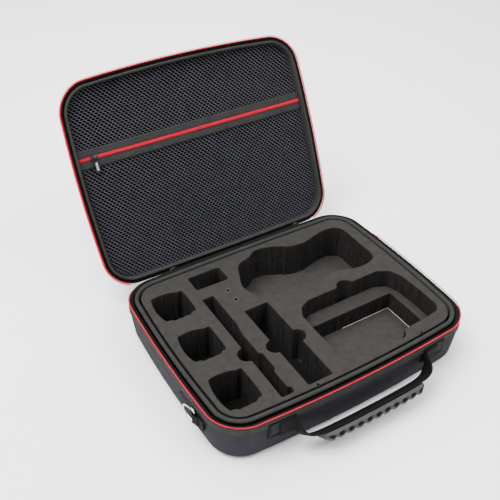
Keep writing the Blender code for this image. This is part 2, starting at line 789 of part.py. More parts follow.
def main():
    clear_scene()
    fabric = make_material("shell_fabric", (0.045, 0.047, 0.055), 0.85)
    tape = make_material("zipper_tape", (0.075, 0.077, 0.075), 0.8)
    red = make_material("red_zipper_coil", (0.55, 0.02, 0.03), 0.4)
    binding = make_material("rim_binding", (0.09, 0.092, 0.088), 0.85)
    foam = make_material("eva_foam", (0.085, 0.08, 0.076), 0.9)
    pad = make_material("floor_foam", (0.07, 0.067, 0.064), 0.9)
    mesh_fabric = make_material("pocket_mesh", (0.035, 0.035, 0.04), 0.7)
    webbing = make_material("black_webbing", (0.02, 0.02, 0.022), 0.75)
    patch_fabric = make_material("patch_fabric", (0.04, 0.041, 0.045), 0.85)
    rubber = make_material("grip_rubber", (0.06, 0.062, 0.065), 0.5)
    metal = make_material("bright_steel", (0.62, 0.62, 0.63), 0.25, 1.0)
    dark_metal = make_material("black_zinc", (0.05, 0.05, 0.055), 0.35, 0.8)

    build_tray(fabric, tape, red, binding)
    build_foam(foam, pad)
    hinge = make_empty("lid_hinge", (0, HINGE_Y, HINGE_Z), (-LID_OPEN, 0, 0))
    build_lid(fabric, tape, red, binding, mesh_fabric, hinge)
    build_zipper_hardware(metal, dark_metal, hinge)
    build_hinge_strip(webbing, hinge)
    handle = make_empty("handle_pivot", (0, HANDLE_PIVOT_Y, HANDLE_PIVOT_Z), (HANDLE_DROOP, 0, 0))
    build_handle(webbing, rubber, patch_fabric, handle)
    for side, sign in (("left", -1), ("right", 1)):
        build_side_ring(side, sign, webbing, patch_fabric, metal)


main()
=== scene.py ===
"""Open drone carrying case: the visual model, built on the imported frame. All lengths are in metres."""

import json
import math

import bmesh
import bpy
import numpy as np
from mathutils import Matrix, Vector
from mathutils.geometry import delaunay_2d_cdt

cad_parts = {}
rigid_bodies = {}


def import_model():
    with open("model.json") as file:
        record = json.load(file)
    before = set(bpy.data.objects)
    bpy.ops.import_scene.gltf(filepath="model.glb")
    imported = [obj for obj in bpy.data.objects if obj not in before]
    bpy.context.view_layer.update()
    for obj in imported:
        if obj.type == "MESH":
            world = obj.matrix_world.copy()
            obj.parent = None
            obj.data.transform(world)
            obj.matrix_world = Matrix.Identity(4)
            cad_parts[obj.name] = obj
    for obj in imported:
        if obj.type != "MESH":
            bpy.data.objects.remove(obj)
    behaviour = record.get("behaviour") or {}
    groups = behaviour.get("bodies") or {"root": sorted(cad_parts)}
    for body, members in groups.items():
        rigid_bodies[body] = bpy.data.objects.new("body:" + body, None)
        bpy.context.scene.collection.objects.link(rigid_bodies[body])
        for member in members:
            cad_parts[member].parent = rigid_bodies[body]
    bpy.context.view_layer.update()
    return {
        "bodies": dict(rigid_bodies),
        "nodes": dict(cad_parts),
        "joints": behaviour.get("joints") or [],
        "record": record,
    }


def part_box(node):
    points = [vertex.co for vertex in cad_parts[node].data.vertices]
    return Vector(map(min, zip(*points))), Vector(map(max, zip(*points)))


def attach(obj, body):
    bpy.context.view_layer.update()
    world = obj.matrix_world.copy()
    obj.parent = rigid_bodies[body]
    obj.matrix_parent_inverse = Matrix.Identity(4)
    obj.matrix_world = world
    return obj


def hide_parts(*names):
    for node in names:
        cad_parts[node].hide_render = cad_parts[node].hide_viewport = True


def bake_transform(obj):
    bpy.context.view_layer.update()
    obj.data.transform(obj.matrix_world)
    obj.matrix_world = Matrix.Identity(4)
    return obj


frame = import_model()
for startup in ("Cube", "Light", "Camera"):
    if startup in bpy.data.objects:
        bpy.data.objects.remove(bpy.data.objects[startup])

MM = 0.001
JOINTS = {joint["name"]: joint for joint in frame["joints"]}

# The case's plan outline and heights, as in the CAD.
HALF_LENGTH = 175 * MM
HALF_DEPTH = 135 * MM
CORNER_R = 38 * MM
SIDE_BOW = 5.5 * MM
FRONT_BOW = 8 * MM
REAR_BOW = 2 * MM
PARTING_Z = 62 * MM
LID_HEIGHT = 40 * MM
FOAM_TOP = PARTING_Z - 1.6 * MM
FOAM_INSET = 14.8 * MM
PAD_TOP = 9.3 * MM
SHELF_TOP = PARTING_Z - 26 * MM
COIL_DROP = 1.6 * MM
CUT_SPACING = 1.1 * MM
POCKET_Y = -41 * MM
POCKET_END = 169.5 * MM
POCKET_TAPE_LOW = 7.4 * MM
MESH_LOW = 9 * MM

# The hinge line and the lid's place at rest.
HINGE = Vector(JOINTS["lid_hinge"]["pos_m"])
LID_OPEN = math.radians(JOINTS["lid_hinge"]["range_deg"][1])
LID_PLACE = Matrix.Translation(HINGE) @ Matrix.Rotation(-LID_OPEN, 4, "X") @ Matrix.Translation(-HINGE)

# The handle turns about this line, and hangs at this angle.
HANDLE_PIVOT = Vector(JOINTS["handle_swing"]["pos_m"])
HANDLE_DROOP = math.radians(45)
HANDLE_PLACE = Matrix.Translation(HANDLE_PIVOT) @ Matrix.Rotation(HANDLE_DROOP, 4, "X")

UPRIGHT = np.array([0.0, 0.0, 1.0])
random = np.random.RandomState(7)


# ---------------------------------------------------------------- materials


class Shader:
    """One node material, wired from small steps."""

    def __init__(self, name, metallic=0.0, coat=0.0, sheen=0.0, gloss=0.5):
        self.material = bpy.data.materials.new(name)
        self.material.use_nodes = True
        self.tree = self.material.node_tree
        self.bsdf = self.tree.nodes["Principled BSDF"]
        self.bsdf.inputs["Metallic"].default_value = metallic
        self.bsdf.inputs["Coat Weight"].default_value = coat
        self.bsdf.inputs["Specular IOR Level"].default_value = gloss
        self.bsdf.inputs["Sheen Weight"].default_value = sheen
        self.bsdf.inputs["Sheen Roughness"].default_value = 0.5
        self.coords = self.tree.nodes.new("ShaderNodeTexCoord")

    def put(self, socket, value):
        if isinstance(value, bpy.types.NodeSocket):
            self.tree.links.new(value, socket)
        else:
            socket.default_value = value

    def math(self, operation, a, b=0.0, clamp=False):
        node = self.tree.nodes.new("ShaderNodeMath")
        node.operation = operation
        node.use_clamp = clamp
        self.put(node.inputs[0], a)
        self.put(node.inputs[1], b)
        return node.outputs[0]

    def scaled(self, factors, space="Object"):
        node = self.tree.nodes.new("ShaderNodeVectorMath")
        node.operation = "MULTIPLY"
        self.put(node.inputs[0], self.coords.outputs[space])
        node.inputs[1].default_value = factors
        return node.outputs[0]

    def noise(self, size, detail=2.0, stretch=(1, 1, 1), space="Object"):
        """Soft noise from 0 to 1 with features of this size in metres."""
        node = self.tree.nodes.new("ShaderNodeTexNoise")
        self.put(node.inputs["Vector"], self.scaled([f / size for f in stretch], space))
        node.inputs["Scale"].default_value = 1.0
        node.inputs["Detail"].default_value = detail
        return node.outputs["Fac"]

    def threads(self, pitch_u, pitch_v):
        """Sine ridges along the piece's own length and width, as (u, v) from -1 to 1."""
        wave = self.tree.nodes.new("ShaderNodeVectorMath")
        wave.operation = "SINE"
        self.put(wave.inputs[0], self.scaled((math.tau / pitch_u, math.tau / pitch_v, 0), "UV"))
        split = self.tree.nodes.new("ShaderNodeSeparateXYZ")
        self.put(split.inputs[0], wave.outputs[0])
        return split.outputs[0], split.outputs[1]

    def up_facing(self):
        geometry = self.tree.nodes.new("ShaderNodeNewGeometry")
        split = self.tree.nodes.new("ShaderNodeSeparateXYZ")
        self.put(split.inputs[0], geometry.outputs["True Normal"])
        return self.math("ABSOLUTE", split.outputs[2])

    def attribute(self, name):
        node = self.tree.nodes.new("ShaderNodeAttribute")
        node.attribute_name = name
        return node.outputs["Fac"]

    def colour(self, factor, dark, light):
        node = self.tree.nodes.new("ShaderNodeMix")
        node.data_type = "RGBA"
        self.put(node.inputs[0], factor)
        node.inputs[6].default_value = (*dark, 1)
        node.inputs[7].default_value = (*light, 1)
        self.put(self.bsdf.inputs["Base Color"], node.outputs[2])
        return node

    def roughness(self, factor, low, high):
        node = self.tree.nodes.new("ShaderNodeMapRange")
        self.put(node.inputs[0], factor)
        node.inputs[3].default_value = low
        node.inputs[4].default_value = high
        self.put(self.bsdf.inputs["Roughness"], node.outputs[0])

    def bump(self, height, distance, strength=1.0):
        node = self.tree.nodes.new("ShaderNodeBump")
        node.inputs["Distance"].default_value = distance
        node.inputs["Strength"].default_value = strength
        self.put(node.inputs["Height"], height)
        self.put(self.bsdf.inputs["Normal"], node.outputs[0])


def woven(name, dark, light, pitch, distance, sheen=0.0, rough=(0.75, 0.95)):
    """Plain woven fabric: crossing threads, fibre noise and slow wear."""
    s = Shader(name, sheen=sheen, gloss=0.12)
    across, along = s.threads(pitch, pitch)
    weave = s.math("MULTIPLY", across, along)
    fibre = s.noise(0.35 * MM, 3)
    slow = s.noise(18 * MM, 3)
    tone = s.math("ADD", s.math("MULTIPLY", weave, 0.22), s.math("MULTIPLY", fibre, 0.5))
    tone = s.math("ADD", tone, s.math("MULTIPLY", slow, 0.5), clamp=True)
    s.colour(tone, dark, light)
    s.roughness(fibre, *rough)
    s.bump(s.math("ADD", weave, s.math("MULTIPLY", fibre, 1.4)), distance)
    return s.material


def ribbed(name, dark, light, pitch, distance, sheen=0.0, rough=(0.7, 0.9)):
    """Grosgrain tape or webbing: ribs across its length, with a fine weave."""
    s = Shader(name, sheen=sheen, gloss=0.12)
    rib, fine = s.threads(pitch, pitch * 0.6)
    fibre = s.noise(0.3 * MM, 3)
    slow = s.noise(14 * MM, 2)
    tone = s.math("ADD", s.math("MULTIPLY", rib, 0.3), s.math("MULTIPLY", fibre, 0.45))
    tone = s.math("ADD", tone, s.math("MULTIPLY", slow, 0.45), clamp=True)
    s.colour(tone, dark, light)
    s.roughness(fibre, *rough)
    height = s.math("ADD", rib, s.math("MULTIPLY", fine, 0.35))
    s.bump(s.math("ADD", height, fibre), distance)
    return s.material


def foam_material(name, dark, light, shaded_side=False):
    """Closed-cell foam: fine grain, upright streaks on the cut walls, and painted shade that darkens those
    walls.
    """
    s = Shader(name, gloss=0.08)
    grain = s.noise(0.5 * MM, 4)
    patchy = s.noise(9 * MM, 3)
    streaks = s.noise(2.6 * MM, 3, stretch=(1, 1, 0.04))
    wall = s.math("SUBTRACT", 1.0, s.up_facing(), clamp=True)
    tone = s.math("ADD", s.math("MULTIPLY", grain, 0.55), s.math("MULTIPLY", patchy, 0.3))
    tone = s.math("ADD", tone, s.math("MULTIPLY", s.math("MULTIPLY", streaks, wall), 0.5), clamp=True)
    # Painted shade: the cut walls are painted darker than the flat top, for the shade down in the wells.
    tone = s.math("SUBTRACT", tone, s.math("MULTIPLY", wall, 0.44), clamp=True)
    if shaded_side:
        # Painted shade: the floor is darkened under the narrow wells, to the left of the drone and
        # controller, where they lie in shadow.
        split = s.tree.nodes.new("ShaderNodeSeparateXYZ")
        s.put(split.inputs[0], s.scaled((-100, 1, 1)))
        side = s.math("SUBTRACT", split.outputs[0], 1.6, clamp=True)
        tone = s.math("SUBTRACT", tone, s.math("MULTIPLY", side, 0.7), clamp=True)
    s.colour(tone, dark, light)
    s.roughness(grain, 0.85, 1.0)
    height = s.math("ADD", grain, s.math("MULTIPLY", s.math("MULTIPLY", streaks, wall), 3.0))
    s.bump(height, 0.22 * MM, 0.8)
    return s.material


def smooth_material(
    name, dark, light, rough, metallic=0.0, grain=1.2 * MM, distance=0.02 * MM, coat=0.0, gloss=0.5
):
    """Moulded or cast material: faint grain, handling marks and a slight ripple."""
    s = Shader(name, metallic=metallic, coat=coat, gloss=gloss)
    fine = s.noise(grain, 3)
    marks = s.noise(7 * MM, 4)
    tone = s.math("ADD", s.math("MULTIPLY", fine, 0.4), s.math("MULTIPLY", marks, 0.6), clamp=True)
    s.colour(tone, dark, light)
    s.roughness(marks, *rough)
    s.bump(fine, distance)
    return s.material


def grip_material():
    """Soft rubber, worn lighter on the ribs, with painted shade dark in the holes."""
    s = Shader("grip_rubber", gloss=0.15)
    fine = s.noise(0.5 * MM, 3)
    marks = s.noise(8 * MM, 3)
    tone = s.math("ADD", s.math("MULTIPLY", fine, 0.35), s.math("MULTIPLY", marks, 0.4))
    tone = s.math("ADD", tone, s.math("MULTIPLY", s.attribute("wear"), 0.5))
    # Painted shade: the hole attribute darkens the rubber down in the holes.
    tone = s.math("SUBTRACT", tone, s.attribute("hole"), clamp=True)
    s.colour(tone, (0.0008, 0.0008, 0.001), (0.070, 0.072, 0.075))
    s.roughness(marks, 0.45, 0.7)
    s.bump(fine, 0.05 * MM)
    return s.material


SHELL = woven("shell_weave", (0.0085, 0.0085, 0.011), (0.026, 0.026, 0.034), 0.9 * MM, 0.10 * MM)
LINING = woven("lining_weave", (0.0005, 0.0005, 0.0006), (0.0015, 0.0015, 0.002), 0.7 * MM, 0.06 * MM)
TAPE = ribbed("tape_rib", (0.010, 0.010, 0.010), (0.036, 0.038, 0.036), 1.2 * MM, 0.12 * MM)
# Painted shade: near-black tape for the deep shadow in the gap between the zipper tape and the rim binding.
GAP_SHADE = ribbed("painted_gap_shade_rib", (0.0006, 0.0006, 0.0006), (0.003, 0.003, 0.003), 1.2 * MM, 0.12 * MM)
BINDING = ribbed("binding_rib", (0.010, 0.011, 0.0095), (0.036, 0.039, 0.035), 1.4 * MM, 0.14 * MM)
WEBBING = ribbed("webbing_rib", (0.001, 0.001, 0.0012), (0.005, 0.005, 0.006), 1.3 * MM, 0.2 * MM)
MESH_YARN = woven("mesh_yarn", (0.018, 0.018, 0.022), (0.062, 0.063, 0.074), 0.5 * MM, 0.05 * MM)
THREAD = smooth_material(
    "sewing_thread", (0.006, 0.006, 0.007), (0.024, 0.024, 0.027), (0.5, 0.7), grain=0.3 * MM, gloss=0.15
)
FOAM = foam_material("foam_grain", (0.0025, 0.0024, 0.0023), (0.047, 0.0435, 0.0415))
# The pad's foam carries painted shade under the narrow wells (shaded_side).
PAD_FOAM = foam_material("foam_pad", (0.0035, 0.0034, 0.0032), (0.057, 0.053, 0.050), shaded_side=True)
# Painted highlight: a pale foam for the lit rims round the pin holes.
RIM_HIGHLIGHT_FOAM = foam_material("foam_painted_rim_highlight", (0.04, 0.037, 0.034), (0.14, 0.13, 0.12))
CUT_LINE = foam_material("foam_cut_line", (0.22, 0.21, 0.19), (0.45, 0.43, 0.40))
RED = smooth_material("red_nylon", (0.34, 0.001, 0.012), (0.62, 0.004, 0.034), (0.35, 0.5), gloss=0.12)
RUBBER = grip_material()
STEEL = smooth_material("bright_steel", (0.38, 0.38, 0.39), (0.62, 0.62, 0.63), (0.12, 0.28), metallic=1.0)
ZINC = smooth_material(
    "black_zinc", (0.003, 0.003, 0.0035), (0.014, 0.014, 0.016), (0.25, 0.42), coat=0.15, gloss=0.3
)


# ---------------------------------------------------------------- mesh building


def mesh_object(name, part, material, angle=40, closed=True, matrix=None, merge=False):
    """An object made from (verts, faces, uvs), shaded smooth up to this angle."""
    verts, faces, uvs = part
    mesh = bpy.data.meshes.new(name)
    mesh.from_pydata([tuple(v) for v in verts], [], [tuple(int(i) for i in f) for f in faces])
    if uvs is not None:
        layer = mesh.uv_layers.new(name="UVMap")
        layer.data.foreach_set("uv", np.asarray(uvs, np.float32).ravel())
    if closed or merge:
        bm = bmesh.new()
        bm.from_mesh(mesh)
        if merge:
            bmesh.ops.remove_doubles(bm, verts=bm.verts, dist=1e-6)
        bmesh.ops.recalc_face_normals(bm, faces=bm.faces)
        bm.to_mesh(mesh)
        bm.free()
    if matrix is not None:
        mesh.transform(matrix)
    mesh.materials.append(material)
    mesh.shade_smooth()
    mesh.set_sharp_from_angle(angle=math.radians(angle))
    obj = bpy.data.objects.new(name, mesh)
    bpy.context.scene.collection.objects.link(obj)
    return obj


def piece(name, part, material, body, slot, *nodes, **shape):
    """A finished object: it rides on a body and stands for these CAD nodes; slot is not used."""
    obj = mesh_object(name, part, material, **shape)
    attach(obj, body)
    if nodes:
        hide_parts(*nodes)
    return obj


def sew(name, rows, body, slot, matrix=None):
    """Rows of stitches as one object."""
    piece(name, joined(rows), THREAD, body, slot, angle=80, closed=False, matrix=matrix)


def accent(obj, material, chosen):
    """A second material on the chosen faces."""
    obj.data.materials.append(material)
    for face in obj.data.polygons:
        face.material_index = int(face.index in chosen)


def measured(points, closed):
    """Running length along a line of points, with one more entry for the closing step."""
    ends = np.vstack([points, points[:1]]) if closed else points
    return np.concatenate([[0], np.cumsum(np.linalg.norm(np.diff(ends, axis=0), axis=1))])


def lofted(grid, close_rows=False, close_cols=True, caps=()):
    """(verts, faces, uvs) of a grid of points, with u along its columns and v down its rows."""
    rows, cols = grid.shape[:2]
    u = measured(grid[rows // 2], close_cols)
    v = measured(grid[:, 0], close_rows)
    faces, uvs = [], []
    for j in range(rows if close_rows else rows - 1):
        k = (j + 1) % rows
        for i in range(cols if close_cols else cols - 1):
            n = (i + 1) % cols
            faces.append((j * cols + i, j * cols + n, k * cols + n, k * cols + i))
            uvs += [(u[i], v[j]), (u[i + 1], v[j]), (u[i + 1], v[j + 1]), (u[i], v[j + 1])]
    for row in caps:
        ring = [(row % rows) * cols + i for i in range(cols)]
        faces.append(ring)
        uvs += [tuple(grid[row][i][:2]) for i in range(cols)]
    if close_rows and not close_cols:
        for col in (0, cols - 1):
            faces.append([j * cols + col for j in range(rows)])
            uvs += [(0, v[j]) for j in range(rows)]
    return grid.reshape(-1, 3), faces, uvs


def joined(parts):
    """Several (verts, faces, uvs) as one."""
    verts, faces, uvs, start = [], [], [], 0
    for part_verts, part_faces, part_uvs in parts:
        verts.append(np.asarray(part_verts))
        faces += [[i + start for i in face] for face in part_faces]
        uvs += list(part_uvs)
        start += len(part_verts)
    return np.vstack(verts), faces, uvs


def plan(inset, corner=14, side=26):
    """The case's plan outline, anticlockwise from the middle of the rear edge."""
    half_x, half_y = HALF_LENGTH - inset, HALF_DEPTH - inset
    radius = max(CORNER_R - inset, 4 * MM)
    flat_x, flat_y = half_x - radius, half_y - radius
    ease = np.linspace(0, 1, side)[:-1]
    sweep = np.radians(np.linspace(0, 90, corner + 1))[:-1]
    lines = [((0, half_y), (-flat_x, half_y)), ((-half_x, flat_y), (-half_x, -flat_y))]
    lines += [((-flat_x, -half_y), (flat_x, -half_y)), ((half_x, -flat_y), (half_x, flat_y))]
    lines.append(((flat_x, half_y), (0, half_y)))
    centres = [(-flat_x, flat_y, 90), (-flat_x, -flat_y, 180), (flat_x, -flat_y, 270), (flat_x, flat_y, 0)]
    points = []
    for index, (a, b) in enumerate(lines):
        points += [(a[0] + (b[0] - a[0]) * t, a[1] + (b[1] - a[1]) * t) for t in ease]
        if index < 4:
            cx, cy, start = centres[index]
            turn = sweep + math.radians(start)
            points += [(cx + radius * math.cos(t), cy + radius * math.sin(t)) for t in turn]
    points = np.array(points)
    across = 1 - (points[:, 0] / half_x) ** 2
    along = 1 - (points[:, 1] / half_y) ** 2
    bow = np.where(points[:, 1] > 0, REAR_BOW, FRONT_BOW)
    points[:, 0] *= 1 + SIDE_BOW / HALF_LENGTH * along
    points[:, 1] *= 1 + bow / HALF_DEPTH * across
    return points


def plan_loft(section, close_rows=True, caps=(), corner=14, side=26):
    """A section of (inset, z) points carried round the plan outline."""
    grid = []
    for inset, z in section:
        outline = plan(inset, corner, side)
        grid.append(np.column_stack([outline, np.full(len(outline), z)]))
    return lofted(np.array(grid), close_rows, True, caps)


def eased(knots, steps):
    """Points on a smooth curve through the given open list."""
    p = np.array(knots, float)
    p = np.vstack([2 * p[0] - p[1], p, 2 * p[-1] - p[-2]])
    t = np.linspace(0, 1, steps + 1)[:-1][:, None]
    out = []
    for a, b, c, d in zip(p, p[1:], p[2:], p[3:]):
        curve = 2 * b + (c - a) * t + (2 * a - 5 * b + 4 * c - d) * t**2 + (3 * b - a - 3 * c + d) * t**3
        out.append(0.5 * curve)
    return np.vstack(out + [p[-2:-1]])


class Rail:
    """The plan outline at one inset, by distance from the middle of the rear edge."""

    def __init__(self, inset):
        loop = plan(inset, 60, 120)
        self.points = np.vstack([loop, loop[:1]])
        self.lengths = measured(loop, True)
        self.length = self.lengths[-1]
        ahead = np.roll(loop, -1, axis=0) - np.roll(loop, 1, axis=0)
        ahead /= np.linalg.norm(ahead, axis=1)[:, None]
        self.ahead = np.vstack([ahead, ahead[:1]])

    def at(self, s, z):
        """(points, directions along, outward directions), each (n, 3)."""
        s = np.mod(s, self.length)
        x, y = (np.interp(s, self.lengths, self.points[:, k]) for k in (0, 1))
        points = np.column_stack([x, y, np.full(len(s), z)])
        x, y = (np.interp(s, self.lengths, self.ahead[:, k]) for k in (0, 1))
        ahead = np.column_stack([x, y, np.zeros(len(s))])
        ahead /= np.linalg.norm(ahead, axis=1)[:, None]
        return points, ahead, np.column_stack([ahead[:, 1], -ahead[:, 0], np.zeros(len(s))])


def tube(points, radius, sides, guide, closed=False):
    """A round wire through the points. guide is a direction the wire never runs along."""
    points = np.asarray(points, float)
    if closed:
        ahead = np.roll(points, -1, axis=0) - np.roll(points, 1, axis=0)
    else:
        ahead = np.gradient(points, axis=0)
    ahead /= np.linalg.norm(ahead, axis=1)[:, None]
    one = np.cross(ahead, guide)
    one /= np.linalg.norm(one, axis=1)[:, None]
    other = np.cross(ahead, one)
    radius = np.broadcast_to(radius, len(points))[:, None, None]
    turn = np.arange(sides) * math.tau / sides
    ring = one[:, None] * np.cos(turn)[None, :, None] + other[:, None] * np.sin(turn)[None, :, None]
    grid = points[:, None] + ring * radius
    caps = () if closed else (0, -1)
    return lofted(grid, closed, True, caps)


def zipper_coil(points, ahead, outward, turns, half_width, half_height, wire):
    """A monofilament coil wound round a line; rows of points are spaced evenly along it."""
    up = np.cross(outward, ahead)
    turn = np.linspace(0, math.tau * turns, len(points))[:, None]
    winding = points + outward * half_width * np.cos(turn) + up * half_height * np.sin(turn)
    return tube(winding, wire, 5, ahead)


def ribbon(path, across, thick, rounding=0.92):
    """A flat strap along path; across are half-width vectors, one for each point."""
    path, across = np.asarray(path, float), np.asarray(across, float)
    ahead = np.gradient(path, axis=0)
    normal = np.cross(ahead, across)
    normal *= thick / 2 / np.linalg.norm(normal, axis=1)[:, None]
    half = [(-1, 0), (-0.985, 0.6), (-rounding, 1), (-0.45, 1.08)]
    half += [(0, 1.1), (0.45, 1.08), (rounding, 1), (0.985, 0.6)]
    section = half + [(-a, -b) for a, b in half]
    grid = np.array([path + a * across + b * normal for a, b in section])
    return lofted(grid, True, False)


def stitches(points, ahead, normal, length, radius):
    """Sewing stitches: short bowed threads centred on the points."""
    points, ahead, normal = (np.asarray(item, float) for item in (points, ahead, normal))
    side = np.cross(ahead, normal)
    rings = []
    bow = ((-0.5, -0.6, 0.5), (-0.28, 0.35, 1), (0, 0.6, 1), (0.28, 0.35, 1), (0.5, -0.6, 0.5))
    for along, height, size in bow:
        centre = points + ahead * along * length + normal * height * radius
        turns = np.arange(5) * math.tau / 5
        ring = side[:, None] * np.cos(turns)[:, None] + normal[:, None] * np.sin(turns)[:, None]
        rings.append(centre[:, None] + ring * radius * size)
    grid = np.stack(rings, 1)
    parts = [lofted(one, False, True) for one in grid]
    return joined(parts)


def rail_stitches(inset, z, normal, run):
    """A row of stitches this long round the outline, on a face that looks up (1), down (-1) or out (0)."""
    pitch = 3.2 * MM
    count = int(run / pitch)
    points, ahead, outward = Rail(inset).at((np.arange(count) + 0.5) * pitch, z)
    face = outward if normal == 0 else np.tile([0.0, 0.0, float(normal)], (count, 1))
    return stitches(points, ahead, face, pitch * 0.74, 0.28 * MM)


def line_stitches(start, end, normal, pitch=2.8 * MM, radius=0.28 * MM):
    """A straight row of stitches between two points."""
    start, end = np.array(start, float), np.array(end, float)
    run = end - start
    length = np.linalg.norm(run)
    count = max(1, int(length / pitch))
    points = start + run * ((np.arange(count) + 0.5) / count)[:, None]
    ahead = np.tile(run / length, (count, 1))
    return stitches(points, ahead, np.tile(np.asarray(normal, float), (count, 1)), pitch * 0.72, radius)


def bevelled(outline, low, high, bevel):
    """An upright plate on a convex outline, with its edges rounded, as (verts, faces, uvs)."""
    outline = np.array(outline, float)
    centre = outline.mean(0)
    reach = np.linalg.norm(outline - centre, axis=1).mean()
    foot = [(1, low), (0.3, low + 0.25 * bevel), (0, low + bevel)]
    head = [(0, high - bevel), (0.3, high - 0.25 * bevel), (1, high)]
    rings = []
    for shrink, z in foot + head:
        points = centre + (outline - centre) * (1 - shrink * bevel / reach)
        rings.append(np.column_stack([points, np.full(len(points), z)]))
    return lofted(np.array(rings), False, True, (0, -1))


def turned(part, matrix):
    """The part moved by a matrix."""
    verts = np.asarray(part[0]) @ np.array(matrix.to_3x3()).T + np.array(matrix.translation)
    return verts, part[1], part[2]


def arc(centre, radius, start, end, steps):
    turns = np.radians(np.linspace(start, end, steps + 1))
    return [(centre[0] + radius * math.cos(t), centre[1] + radius * math.sin(t)) for t in turns]


# ---------------------------------------------------------------- tray and lid shells


def shell_section(top, foot_r, taper, spread=0.0):
    """Section of a moulded tray this high: from the middle of its floor, up the outside and down the inside.

    taper is how far the wall leans in at its foot, and spread how far the inside stands in further."""
    lip = spread * 0.35
    section = [(90 * MM, 0.0), (40 * MM, 0.0)]
    for angle in np.radians(np.linspace(0, 90, 11)):
        section.append((taper + foot_r * (1 - math.sin(angle)), 11 * MM * (1 - math.cos(angle))))
    for t in np.linspace(0, 1, 12)[1:]:
        puff = 0.7 * MM * math.sin(math.pi * t)
        section.append((taper * (1 - t) + 0.2 * MM + lip - puff, 11 * MM + (top - 12 * MM) * t))
    section += [(0.5 * MM + lip, top - 0.3 * MM), (1.4 * MM + lip, top), (4.6 * MM + lip, top)]
    section += [(5.2 * MM + lip, top - 0.6 * MM), (7 * MM + spread / 2, top * 0.6)]
    section += [(8.4 * MM + spread, 15 * MM), (11 * MM + spread, 7 * MM)]
    section += [(16 * MM + spread, 4 * MM), (90 * MM, 4 * MM)]
    return section


def flipped(section, height):
    """The section upside down, above the parting plane."""
    return [(inset, PARTING_Z + height - z) for inset, z in section]


def build_shells():
    tray = plan_loft(shell_section(PARTING_Z - 6.4 * MM, 11.6 * MM, 3.4 * MM), False, (0, -1))
    piece("tray_shell", tray, SHELL, "tray", "shell_fabric", "base_shell", angle=50)
    section = flipped(shell_section(LID_HEIGHT - 6.4 * MM, 13 * MM, 9 * MM, 5 * MM), LID_HEIGHT)
    lid = plan_loft(section, False, (0, -1))
    obj = piece("lid_shell_cover", lid, SHELL, "lid", "shell_fabric", "lid_shell", angle=50, matrix=LID_PLACE)
    # The lining covers the last five bands of the section, and the cap that closes them.
    around = len(plan(0))
    inner = range((len(section) - 6) * around, (len(section) - 1) * around)
    accent(obj, LINING, {*inner, len(obj.data.polygons) - 1})


# The rims in millimetres: where the binding starts and ends, the tape's seam, the coil's gap at the hinge,
# its inset, half-width and half-height, and the tape's section as (inset, distance from the parting plane).
RIMS = {
    "tray": {
        "binding": (7.2, 12.2),
        "seam": -0.75,
        "gap": 92,
        "coil": (0.3, 0.55, 0.5),
        "outer": [(-0.1, 15.2), (-0.6, 14.6), (-0.65, 9), (-0.3, 5.0)],
        "inner": [(1.0, 4.6), (0.4, 5.6), (0.0, 9)],
    },
    "lid": {
        "binding": (5.5, 9.2),
        "seam": 3.1,
        "gap": 150,
        "coil": (0.0, 1.35, 0.6),
        "outer": [(4.3, 15.2), (3.6, 14.6), (1.9, 9), (0.7, 5.0)],
        "inner": [(1.8, 4.6), (1.5, 5.6), (2.7, 9)],
    },
}
TAPE_TOP = [(0.3, 3.4), (1.2, 2.9), (3.0, 3.1), (5.4, 4.4), (5.4, 5.0), (2.4, 4.4)]


def rim_loft(section, sign):
    return plan_loft([(inset * MM, PARTING_Z + sign * depth * MM) for inset, depth in section])


def binding_section(near, wide):
    section = [(near + 1.1, 6.2), (near + 0.2, 5.6), (near, 2.2), (near + 0.3, 1.1), (near + 1.1, 0.6)]
    section += [((near + wide) / 2, 0.35), (wide - 1.5, 0.6), (wide - 0.4, 1.2), (wide, 2.4)]
    return section + [(wide, 14), (wide - 1.2, 14), (wide - 1.6, 6.2)]


def pulled_down(points, outward, start, length):
    """The tray's coil, which the hinge pulls down and out at the two rear corners."""
    run = measured(points, False) + start
    away = np.minimum(run - 150 * MM, length - run - 215 * MM)
    fold = np.clip(1 - away / (40 * MM), 0, 1)[:, None]
    fold = fold * fold * (3 - 2 * fold)
    return points + fold * (outward * 1.7 * MM - np.array([0, 0, 5.6 * MM]))


